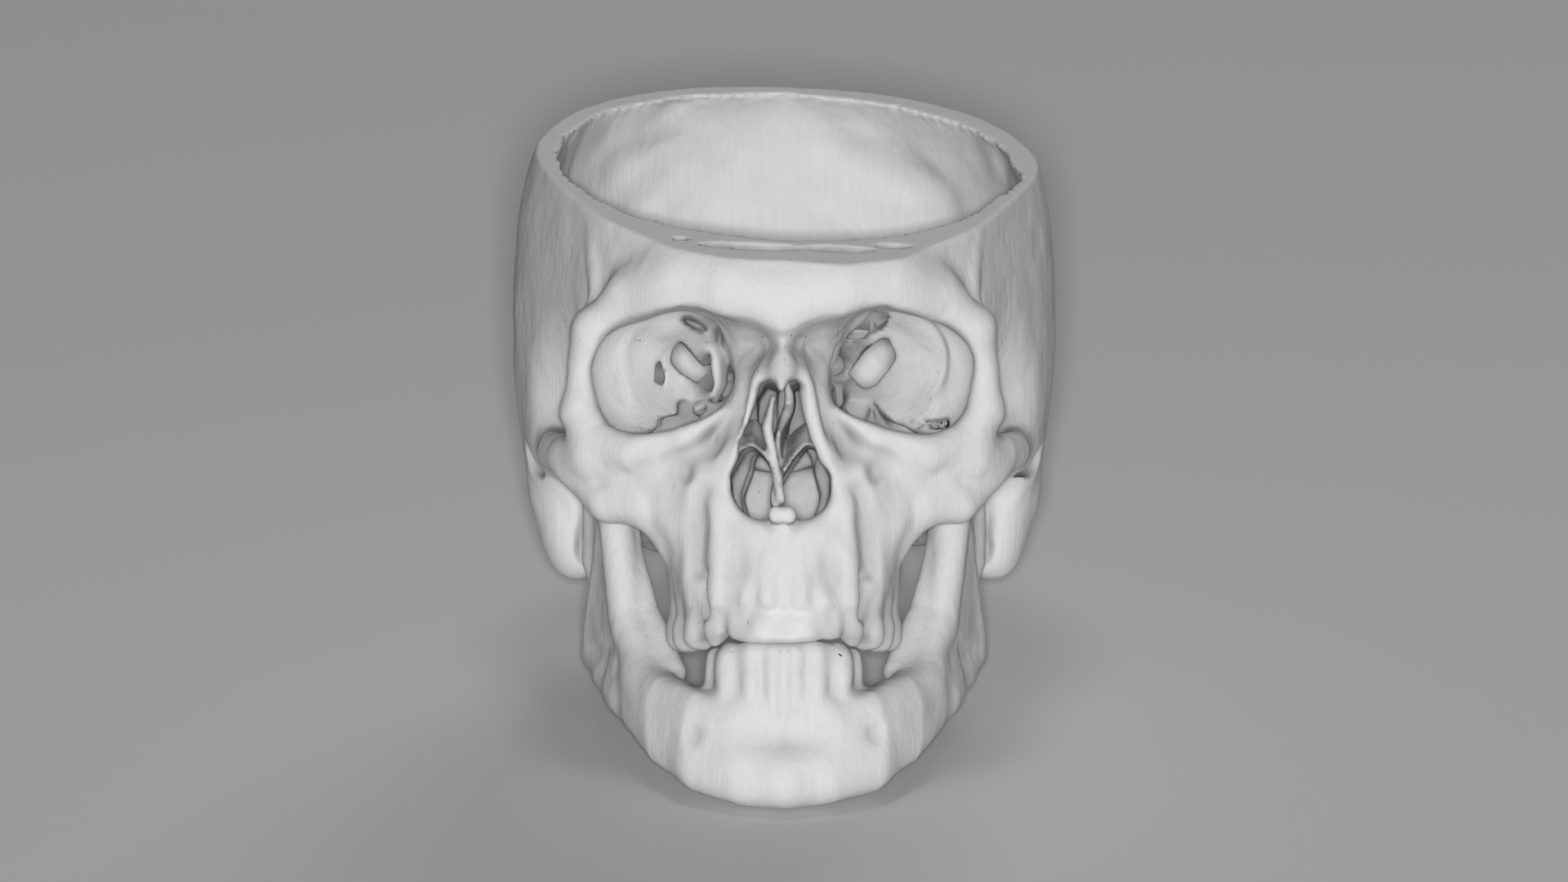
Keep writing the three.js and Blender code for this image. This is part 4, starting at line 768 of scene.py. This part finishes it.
BONES = [
    ("nasal_bone", False, [((3, -98, 14), [
        MIDLINE, back(-84), up(2), ((6.5, -95, 26), (8.6, -95, 4), (5, -80, 26)),
        ((0, -95, 26.5), (8, -95, 25.5), (0, -80, 30)),
    ])]),
    ("lacrimal", False, [
        ((13, -80, 12), [across(8), across(18), back(-83), back(-76.5), up(5), up(21)]),
    ]),
    ("inferior_concha", False, [
        ((9, -72, -9), [across(3.5), across(12.7), back(-89), back(-55), up(-17), up(0)]),
    ]),
    ("vomer", True, [
        ((0, -70, -15), [across(-3.2), across(3.2), back(-89), back(-44), up(-26.5), up(-2)]),
    ]),
    ("ethmoid", True, [
        ((0, -70, 20), [across(-15), across(15), back(-86.5), back(-51), up(-2), up(31)]),
    ]),
    ("palatine", False, [((9, -55, -29), [MIDLINE, back(-62), back(-47.5), across(18), up(-2)])]),
    ("zygomatic", False, [((50, -70, -5), [
        ((54, -67, 23), (50, -60, 22), (54, -80, 23)), ((33, -86, -2), (36, -76, -26), (36, -50, -8)),
        ((38, -61, -5), (63, -47, -5), (50, -54.3, 20)),
    ])]),
    ("maxilla", False, [
        ((20, -72, -15), [MIDLINE, up(4), back(-48.5)]),
        ((11, -90, 12), [MIDLINE, up(25), back(-83), across(18)]),
    ]),
    ("frontal", True, [((0, -80, 45), [CROWN_SEAM, ((0, -90, 25), (50, -90, 23.5), (0, -50, 26))])]),
    ("temporal", False, [
        ((60, 0, 5), [
            EAR_SEAM, ((66, 10, 41), (60, 44, 4), (20, 20, 20)), ((58, 42, 0), (13, -15, 0), (58, 42, -30)),
            ((60, -35, 0), (12, -20, 0), (60, -35, 20)),
        ]),
        ((62, -20, -2), [across(56), up(9), up(-12), back(-6), ((60, -48, 0), (70, -45, 0), (62, -50, -10))]),
    ]),
    ("parietal", False, [
        ((60, 0, 60), [MIDLINE, CROWN_SEAM, NAPE_SEAM, EAR_SEAM]),
        ((60, 20, 40), [across(20), back(8), NAPE_SEAM, up(4)]),
    ]),
    ("occipital", True, [((0, 60, 0), [((0, -11, 6), (10, -11, 6), (0, -15, -14))])]),
    ("sphenoid", True, [((0, 0, 0), [])]),
]


def within(points, heart, planes, side):
    """Which points lie on the heart's side of every plane, on one side of the head."""
    flip = np.array([side, 1, 1])
    inside = np.ones(len(points), bool)
    for corners in planes:
        p, q, r = (np.array(corner, float) * flip for corner in corners)
        normal = np.cross(q - p, r - p)
        inside &= ((points - p) @ normal) * ((np.array(heart) * flip - p) @ normal) >= 0
    return inside


def sides_of(single):
    """The name's first word and the sign of x, for a single bone or for a pair."""
    return [("", 1)] if single else [("right_", -1), ("left_", 1)]


def bone_labels(points, names):
    """The number of the bone that each point is in. The points are shifted a little by noise
    first, so that the seams wander as real ones do."""
    x, y, z = points.T
    shift = [noise(x, y, z, 5, seed) * 1.1 + noise(x, y, z, 2, seed + 3) * 0.7 for seed in (21, 22, 23)]
    moved = points + np.stack(shift, -1)
    labels = np.zeros(len(points), np.int16)
    for bone, single, parts in BONES:
        for prefix, side in sides_of(single):
            names.append(prefix + bone)
            inside = np.zeros(len(points), bool)
            for heart, planes in parts:
                inside |= within(moved, heart, planes, side)
            labels[(labels == 0) & inside] = len(names)
    return labels


CORNERS = np.array([(i, j, k) for i in (0, 1) for j in (0, 1) for k in (0, 1)])
CELL_EDGES = [
    (a, b) for a in range(8) for b in range(a + 1, 8) if np.abs(CORNERS[a] - CORNERS[b]).sum() == 1
]


SEAM_DEPTH = 0.4 * STEP  # how far a hidden seam stays under the surface


class Skin:
    """The surface between unlike grid points: one vertex in each cell that the surface passes
    and one four-sided face across each grid edge whose ends differ."""

    def __init__(self, clay, labels):
        value = clay.value
        cell_counts = np.array(labels.shape) - 1
        unlike = np.zeros(cell_counts, bool)
        for corner in CORNERS[1:]:
            shifted = tuple(slice(c, n + c) for c, n in zip(corner, cell_counts))
            unlike |= labels[shifted] != labels[:-1, :-1, :-1]
        cells = np.argwhere(unlike)
        self.number = np.full(unlike.shape, -1, np.int32)
        self.number[tuple(cells.T)] = np.arange(len(cells))
        corner_value = [value[tuple((cells + c).T)] for c in CORNERS]
        corner_label = [labels[tuple((cells + c).T)] for c in CORNERS]
        total = np.zeros((len(cells), 3))
        count = np.zeros(len(cells))
        seam_total = np.zeros((len(cells), 3))
        seam_count = np.zeros(len(cells))
        for a, b in CELL_EDGES:
            la, lb = corner_label[a], corner_label[b]
            crossing = (la == 0) != (lb == 0)
            va, vb = corner_value[a], corner_value[b]
            t = np.clip(va / np.where(va == vb, 1, va - vb), 0.02, 0.98)[:, None]
            total += np.where(crossing[:, None], CORNERS[a] + t * (CORNERS[b] - CORNERS[a]), 0)
            count += crossing
            seam = (la != lb) & ~crossing
            seam_total += np.where(seam[:, None], (CORNERS[a] + CORNERS[b]) / 2, 0)
            seam_count += seam
        self.outside = count > 0
        air_middle = total / np.maximum(count, 1)[:, None]
        seam_middle = seam_total / np.maximum(seam_count, 1)[:, None]
        middle = np.where(self.outside[:, None], air_middle, seam_middle)
        self.points = clay.low + (cells + middle) * STEP
        self.quads = []
        for axis in range(3):
            ahead = [slice(None)] * 3
            behind = [slice(None)] * 3
            ahead[axis] = slice(1, None)
            behind[axis] = slice(None, -1)
            la, lb = labels[tuple(behind)], labels[tuple(ahead)]
            u, v = (axis + 1) % 3, (axis + 2) % 3
            at = np.argwhere(la != lb)
            sideways = at[:, (u, v)]
            at = at[((sideways > 0) & (sideways < cell_counts[[u, v]])).all(1)]
            ring = []
            for du, dv in ((-1, -1), (0, -1), (0, 0), (-1, 0)):
                cell = at.copy()
                cell[:, u] += du
                cell[:, v] += dv
                ring.append(self.number[tuple(cell.T)])
            self.quads.append((np.stack(ring, -1), la[tuple(at.T)], lb[tuple(at.T)]))
        self.smooth_seams(clay)

    def smooth_seams(self, clay):
        """Evens out the hidden seam faces, where a vertex has no air beside it, and keeps them
        under the surface."""
        faces = np.concatenate([quads for quads, _, _ in self.quads])
        for _ in range(6):
            total = np.zeros_like(self.points)
            count = np.zeros(len(self.points))
            for a, b in ((0, 1), (1, 2), (2, 3), (3, 0)):
                for s, e in ((a, b), (b, a)):
                    np.add.at(total, faces[:, s], self.points[faces[:, e]])
                    np.add.at(count, faces[:, s], 1)
            even = total / np.maximum(count, 1)[:, None]
            self.points = np.where(self.outside[:, None], self.points, even)
        hidden = self.points[~self.outside]
        rise = np.maximum(sample(clay.value, clay, hidden) + SEAM_DEPTH, 0)
        self.points[~self.outside] = hidden - slope(clay, hidden) * rise[:, None]

    def faces_of(self, label):
        """The faces round one piece, turned outward, and which of them another piece hides."""
        found = []
        hidden = []
        for quads, behind, ahead in self.quads:
            for own, other, turn in ((behind, ahead, 1), (ahead, behind, -1)):
                found.append(quads[own == label][:, ::turn])
                hidden.append(other[own == label] != 0)
        return np.concatenate(found), np.concatenate(hidden)


def sample(grid, clay, points):
    """A grid's values at any points, evened out between the grid's own."""
    spot = (points - clay.low) / STEP
    cell = np.clip(np.floor(spot).astype(int), 0, np.array(clay.value.shape) - 2)
    t = np.clip(spot - cell, 0, 1)
    total = np.zeros(len(points))
    for corner in CORNERS:
        weight = np.prod(np.where(corner == 1, t, 1 - t), axis=1)
        total += weight * grid[tuple((cell + corner).T)]
    return total


def slope(clay, points):
    """The direction in which the field grows fastest: the surface's outward normal."""
    reach = 0.7 * STEP
    parts = []
    for axis in range(3):
        step = np.zeros(3)
        step[axis] = reach
        parts.append(sample(clay.value, clay, points + step) - sample(clay.value, clay, points - step))
    normal = np.stack(parts, -1)
    return normal / np.maximum(np.linalg.norm(normal, axis=1, keepdims=True), 1e-9)


# These set the painted shade in folds.
NEAR, FAR, FRONT = 2.5, 7, 9  # how far out the folds are felt for
CROWD_REACH = 6


def crowding(clay):
    """The share of bone round every grid point: the inside counted as 1, and its mean taken
    twice over a cube."""
    share = (clay.value < 0).astype(np.float32)
    reach = round(CROWD_REACH / STEP)
    for axis in (0, 1, 2, 0, 1, 2):
        line = np.moveaxis(share, axis, 0)
        total = np.cumsum(np.pad(line, ((reach + 1, reach), (0, 0), (0, 0))), axis=0)
        share = np.moveaxis((total[2 * reach + 1:] - total[:-2 * reach - 1]) / (2 * reach + 1), 0, axis)
    return share


def shade_openness(clay, points, normals):
    """How open the surface lies, from 0 in a deep fold to 1: the field a short way out, over
    the way, at two distances, less where the air in front of it is crowded by bone. The
    colour is given painted shade where this is low."""
    near = sample(clay.value, clay, points + normals * NEAR) / NEAR
    far = sample(clay.value, clay, points + normals * FAR) / FAR
    crowd = sample(crowding(clay), clay, points + normals * FRONT)
    return np.clip(0.3 * near + 0.7 * far, 0, 1) * np.clip(1.1 - 2 * crowd, 0, 1)


def pieces_of(clay, labels, names, body):
    """A mesh for each label, riding on its body. Its normals are the field's, but a seam face
    keeps its own."""
    skin = Skin(clay, labels)
    normals = slope(clay, skin.points)
    # How open each vertex lies, which sets the painted shade in folds.
    shade_open_share = shade_openness(clay, skin.points, normals)
    made = []
    for number, name in enumerate(names, 1):
        faces, hidden = skin.faces_of(number)
        if not len(faces):
            continue
        used, index = np.unique(faces, return_inverse=True)
        mesh = bpy.data.meshes.new(name + "_skin")
        mesh.vertices.add(len(used))
        mesh.vertices.foreach_set("co", to_part(skin.points[used]).astype(np.float32).ravel())
        mesh.loops.add(faces.size)
        mesh.loops.foreach_set("vertex_index", index.astype(np.int32).ravel())
        mesh.polygons.add(len(faces))
        mesh.polygons.foreach_set("loop_start", np.arange(0, faces.size, 4, dtype=np.int32))
        mesh.update(calc_edges=True)
        # The materials read the painted shade in folds from this attribute.
        share = mesh.attributes.new("shade_openness", "FLOAT", "POINT")
        share.data.foreach_set("value", shade_open_share[used].astype(np.float32))
        mesh.polygons.foreach_set("use_smooth", np.ones(len(faces), bool))
        corners = to_part(skin.points[faces])
        flat = np.cross(corners[:, 2] - corners[:, 0], corners[:, 3] - corners[:, 1])
        flat /= np.maximum(np.linalg.norm(flat, axis=1, keepdims=True), 1e-15)
        turned = (to_part(skin.points[faces] + normals[faces]) - corners) / MM
        turned = np.where(hidden[:, None, None], flat[:, None], turned)
        mesh.normals_split_custom_set(turned.reshape(-1, 3).tolist())
        piece = bpy.data.objects.new(name + "_skin", mesh)
        bpy.context.scene.collection.objects.link(piece)
        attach(piece, body)
        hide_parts(name)
        made.append(piece)
    return made


ENAMEL_SPREAD = 0.8  # how far the blend round a tooth still counts as tooth


def label_all(clay, teeth, body_names):
    """Numbers for every grid point inside: the teeth by their own distance, the rest by bone.
    A point near the surface takes the label of the spot on the surface above it, so that seams
    run straight in."""
    labels = np.zeros(clay.value.shape, np.int16)
    names = []
    inside = np.argwhere(clay.value < 0)
    points = clay.low + inside * STEP
    depth = clay.value[tuple(inside.T)]
    near = depth > -2.5 * STEP
    points[near] -= slope(clay, points[near]) * depth[near, None]
    if body_names is None:
        found = bone_labels(points, names)
    else:
        names += body_names
        found = np.ones(len(points), np.int16)
    labels[tuple(inside.T)] = found
    for name, form in teeth:
        names.append(name)
        cuts, grid = clay.span(form, 0)
        gap = form[0](*grid)
        own = ((gap < 0) | (gap - clay.value[cuts] < ENAMEL_SPREAD)) & (clay.value[cuts] < 0)
        labels[cuts][own] = len(names)
    return labels, names


def drop_crumbs(clay, seed):
    """Clears what doesn't join the body that holds a seed point. The body is found by filling
    whole runs of inside points along each axis in turn, until nothing new is reached."""
    inside = clay.value < 0
    reached = np.zeros_like(inside)
    reached[tuple(int(np.searchsorted(axis, s)) for axis, s in zip(clay.axes, seed))] = True
    before = 0
    while reached.sum() > before:
        before = reached.sum()
        for axis in range(3):
            line = np.moveaxis(inside, axis, -1)
            mark = np.moveaxis(reached, axis, -1)
            starts = np.ones(line.shape, bool)
            starts[..., 1:] = line[..., 1:] != line[..., :-1]
            run = np.cumsum(starts.ravel()) - 1
            hit = np.zeros(run[-1] + 1, bool)
            hit[run[mark.ravel()]] = True
            reached = np.moveaxis((hit[run].reshape(line.shape)) & line, -1, axis)
    clay.value[inside & ~reached] = 1


def tooth_row(table, word, pointing):
    """The name and the form of each tooth of one jaw, crowns down or up."""
    return [
        (f"{word}_{prefix}{kind}", tooth(row, side, pointing))
        for prefix, side in sides_of(False)
        for kind, row in table.items()
    ]


# The two bodies.
def within_case(x, y, z):
    """1 well inside the brain case, 0 outside it."""
    distance = egg((0, -2, CASE_HEIGHT), (73, 81, 86), *CASE_ROUND)[0](x, y, z)
    return np.clip(-distance / 3, 0, 1) * np.clip((temple(x, y, z) - 2.2) / 2, 0, 1)


def inner_edge(x, y, z):
    """1 on the inner wall just under the saw cut, 0 elsewhere."""
    below = -over_plane((x, y, z), CUT_POINT, CUT_NORMAL)
    return within_case(x, y, z) * np.clip(1 - below / 3.5, 0, 1)


INNER_RIDGES = [
    [(-3, 84, 84, 3), (-4, 83, 66, 3.4), (-3, 80, 44, 3.6)],
    [(-3, 82, 60, 3), (14, 78, 46, 3), (34, 66, 34, 2.4)],
    [(-3, 82, 60, 3), (-18, 77, 46, 2.6), (-36, 65, 34, 2.4)],
]
GUM_WEAR = 0.8  # how far the teeth and the bone round them are evened out


def sculpt_skull():
    """The head: the halves alike first, then unfolded, then what differs from side to side."""
    clay = Clay((0, -108, -62), (80, 92, 116), True)
    brain_case(clay)
    skull_base(clay)
    face(clay)
    openings(clay)
    jaw_joint(clay)
    clay.unfold()
    teeth = tooth_row(UPPER_TEETH, "upper", -1)
    septum(clay)
    worn_walls(clay)
    clay.sway(-1.3, (-90, -2), (30, 20))
    clay.add(bar(
        (6, -92.5, 11, 1.6), (7.6, -92, 4, 1.8), (9.2, -91.5, -2, 1.8), (11.6, -91, -6.5, 1.6),
    ), 3)
    brow_sinuses(clay)
    for _, form in teeth:
        clay.add(form, GUM_BLEND)
    for x, y, top in ((8.2, -100.4, -43), (13.2, -97.4, -39), (19.8, -89.4, -38)):
        for side in (-1, 1):
            clay.cut(bar((side * x, y + 0.8, top, 0.7), (side * x, y, -50, 1)), 2)
    clay.soften((-36, -108, -62), (36, -44, -28), GUM_WEAR)
    for rows in INNER_RIDGES:
        clay.add(bar(*rows), 6)
    clay.roughen(2.2, 22, 7, where=within_case)
    clay.roughen(1.1, 10, 8, where=within_case)
    clay.roughen(0.3, 8, 1)
    clay.roughen(0.09, 2.6, 2)
    clay.roughen(0.8, 2.4, 9, where=inner_edge)
    joint_clearance(clay)
    clay.value = np.maximum(clay.value, over_plane(clay.places(), CUT_POINT, CUT_NORMAL))
    drop_crumbs(clay, (1, -34, 2))
    return clay, teeth


def sculpt_jaw():
    """The lower jaw, in the same order."""
    clay = Clay((0, -106, -106), (64, 4, 4), True)
    lower_jaw(clay)
    clay.unfold()
    teeth = tooth_row(LOWER_TEETH, "lower", 1)
    for _, form in teeth:
        clay.add(form, GUM_BLEND)
    clay.soften((-26, -106, -88), (26, -70, -50), GUM_WEAR)
    clay.roughen(0.3, 8, 5)
    clay.roughen(0.09, 2.6, 6)
    drop_crumbs(clay, (1, -88, -86))
    return clay, teeth


# Materials.
def linear(code):
    """An sRGB hex colour as linear values, by the sRGB curve."""
    parts = [int(code[i:i + 2], 16) / 255 for i in (0, 2, 4)]
    return (*(p / 12.92 if p <= 0.04045 else ((p + 0.055) / 1.055) ** 2.4 for p in parts), 1)


def add_node(tree, kind, inputs=(), **settings):
    """A node with its settings, and its inputs set to a value or linked to a socket."""
    node = tree.nodes.new(kind)
    for name, value in settings.items():
        setattr(node, name, value)
    for name, value in dict(inputs).items():
        if isinstance(value, bpy.types.NodeSocket):
            tree.links.new(value, node.inputs[name])
        else:
            node.inputs[name].default_value = value
    return node


def new_material(name):
    """A material, its node tree and its surface node."""
    material = bpy.data.materials.new(name)
    material.use_nodes = True
    return material, material.node_tree, material.node_tree.nodes["Principled BSDF"]


def painted_shade_of(tree, open_from):
    """Painted shade: 0 where the surface lies in a fold, so that the colour there takes the painted shade,
    and 1 where the surface is at least as open as open_from.
    """
    felt = add_node(tree, "ShaderNodeAttribute", attribute_name="shade_openness").outputs["Fac"]
    share = {"Value": felt, "From Min": 0.1, "From Max": open_from}
    return add_node(tree, "ShaderNodeMapRange", share).outputs[0]


# Patterns, in marks to the metre.
RIDGES = 900  # one each 1.1 mm, drawn out twentyfold up the skull
RIDGE_DRAW = 0.05
PITS = 700  # one each 1.4 mm, which is coarser than pores, so that they show
STAINS = 60  # one each 17 mm
GLAZE = 150  # one each 7 mm
# The colour of the painted shade in folds.
PAINTED_SHADE_COLOUR = "888785"


def bone_material():
    """Dry bone: light grey and dull, with painted shade that darkens its folds, and fine upright ridges and
    pits.
    """
    material, tree, surface = new_material("dry_bone")
    place = add_node(tree, "ShaderNodeTexCoord").outputs["Object"]
    stretch = {"Vector": place, "Scale": (1, 1, RIDGE_DRAW)}
    drawn = add_node(tree, "ShaderNodeMapping", stretch).outputs["Vector"]
    ridges, clouds, pits = (
        add_node(tree, "ShaderNodeTexNoise", {"Vector": at, "Scale": scale, "Detail": detail}).outputs["Fac"]
        for at, scale, detail in ((drawn, RIDGES, 2), (place, STAINS, 5), (place, PITS, 3))
    )
    colour = linear("D6D5D3")
    # The last layer is painted shade: the colour darkens towards the painted shade's colour in folds.
    for factor, cover in ((clouds, "C6C5C3"), (ridges, "C3C2C0"), (painted_shade_of(tree, 0.85), PAINTED_SHADE_COLOUR)):
        layer = {0: factor, 6: linear(cover), 7: colour}
        colour = add_node(tree, "ShaderNodeMix", layer, data_type="RGBA").outputs[2]
    tree.links.new(colour, surface.inputs["Base Color"])
    surface.inputs["Roughness"].default_value = 0.8
    surface.inputs["Specular IOR Level"].default_value = 0.25
    fine = add_node(tree, "ShaderNodeBump", {"Height": pits, "Strength": 0.12, "Distance": 0.3 * MM})
    upright = {"Height": ridges, "Strength": 0.25, "Distance": 0.5 * MM, "Normal": fine.outputs[0]}
    tree.links.new(add_node(tree, "ShaderNodeBump", upright).outputs[0], surface.inputs["Normal"])
    return material


def enamel_material():
    """Tooth enamel: a little lighter and smoother than the bone, with a soft sheen and painted shade in its
    folds.
    """
    material, tree, surface = new_material("tooth_enamel")
    place = add_node(tree, "ShaderNodeTexCoord").outputs["Object"]
    glaze = {"Vector": place, "Scale": GLAZE, "Detail": 3}
    clouds = add_node(tree, "ShaderNodeTexNoise", glaze).outputs["Fac"]
    colour = linear("CECDCB")
    # The last layer is painted shade: the colour darkens towards the painted shade's colour in folds.
    for factor, cover in ((clouds, "C4C3C1"), (painted_shade_of(tree, 0.9), PAINTED_SHADE_COLOUR)):
        layer = {0: factor, 6: linear(cover), 7: colour}
        colour = add_node(tree, "ShaderNodeMix", layer, data_type="RGBA").outputs[2]
    tree.links.new(colour, surface.inputs["Base Color"])
    surface.inputs["Roughness"].default_value = 0.5
    surface.inputs["Specular IOR Level"].default_value = 0.4
    bump = add_node(tree, "ShaderNodeBump", {"Height": clouds, "Strength": 0.2, "Distance": 0.4 * MM})
    tree.links.new(bump.outputs[0], surface.inputs["Normal"])
    return material


def plain_material():
    """A pale, dull paper for the floor."""
    material, _, surface = new_material("pale_paper")
    surface.inputs["Base Color"].default_value = linear("C4C4C4")
    surface.inputs["Roughness"].default_value = 0.95
    return material


def finish_pieces(pieces, bone, enamel):
    """Enamel on the teeth and bone on the rest."""
    for piece in pieces:
        is_tooth = piece.name.startswith(("upper_", "lower_"))
        piece.data.materials.append(enamel if is_tooth else bone)


# The stage.
FLOOR_HALF = 8.0


def backdrop(paper):
    """A flat floor, wide enough to fill the picture from each side, with no wall to hide the
    back."""
    half = FLOOR_HALF
    mesh = bpy.data.meshes.new("backdrop")
    mesh.from_pydata([
        (-half, -half, 0), (half, -half, 0), (half, half, 0), (-half, half, 0)], [], [(0, 1, 2, 3),
    ])
    mesh.materials.append(paper)
    sheet = bpy.data.objects.new("backdrop", mesh)
    bpy.context.scene.collection.objects.link(sheet)


AIM = to_part((0, -20, 1.5))
ELEVATION = np.radians(17.3)
DISTANCE = 6.0  # from far off, so that the view is nearly parallel, as in the photo
LENS = 506.25
WORLD_LIGHT = 0.02
FRONT_LIGHT = (330, 0.25)  # power and size of each lamp
TOP_LIGHT = (2, 0.3)
REAR_LIGHT = (60, 2)


def soft_light(name, place, power, size):
    """A square lamp that faces the skull."""
    lamp = bpy.data.lights.new(name, "AREA")
    lamp.energy = power
    lamp.size = size
    holder = bpy.data.objects.new(name, lamp)
    holder.location = place
    holder.rotation_euler = (Vector(AIM) - Vector(place)).to_track_quat("-Z", "Y").to_euler()
    bpy.context.scene.collection.objects.link(holder)


def camera_and_lights():
    """The photo's view, with a lamp beside the camera, one above and one behind."""
    scene = bpy.context.scene
    lens = bpy.data.cameras.new("camera")
    lens.lens = LENS
    lens.sensor_width = 36
    lens.clip_start = 0.05
    holder = bpy.data.objects.new("camera", lens)
    direction = Vector((0, -np.cos(ELEVATION), np.sin(ELEVATION)))
    holder.location = Vector(AIM) + direction * DISTANCE
    holder.rotation_euler = (-direction).to_track_quat("-Z", "Y").to_euler()
    scene.collection.objects.link(holder)
    scene.camera = holder
    scene.view_settings.view_transform = "Standard"
    world = bpy.data.worlds.new("world")
    world.use_nodes = True
    world.node_tree.nodes["Background"].inputs["Color"].default_value = linear("FFFFFF")
    world.node_tree.nodes["Background"].inputs["Strength"].default_value = WORLD_LIGHT
    scene.world = world
    soft_light("front_light", Vector(AIM) + direction * 5.6, *FRONT_LIGHT)
    soft_light("top_light", (0, 0.1, 1.4), *TOP_LIGHT)
    soft_light("rear_light", (1.2, 4.2, 2.6), *REAR_LIGHT)


bone = bone_material()
enamel = enamel_material()
skull_clay, upper_teeth = sculpt_skull()
labels, names = label_all(skull_clay, upper_teeth, None)
finish_pieces(pieces_of(skull_clay, labels, names, "cranium"), bone, enamel)
jaw_clay, lower_teeth = sculpt_jaw()
labels, names = label_all(jaw_clay, lower_teeth, ["mandible"])
finish_pieces(pieces_of(jaw_clay, labels, names, "jaw"), bone, enamel)
backdrop(plain_material())
camera_and_lights()
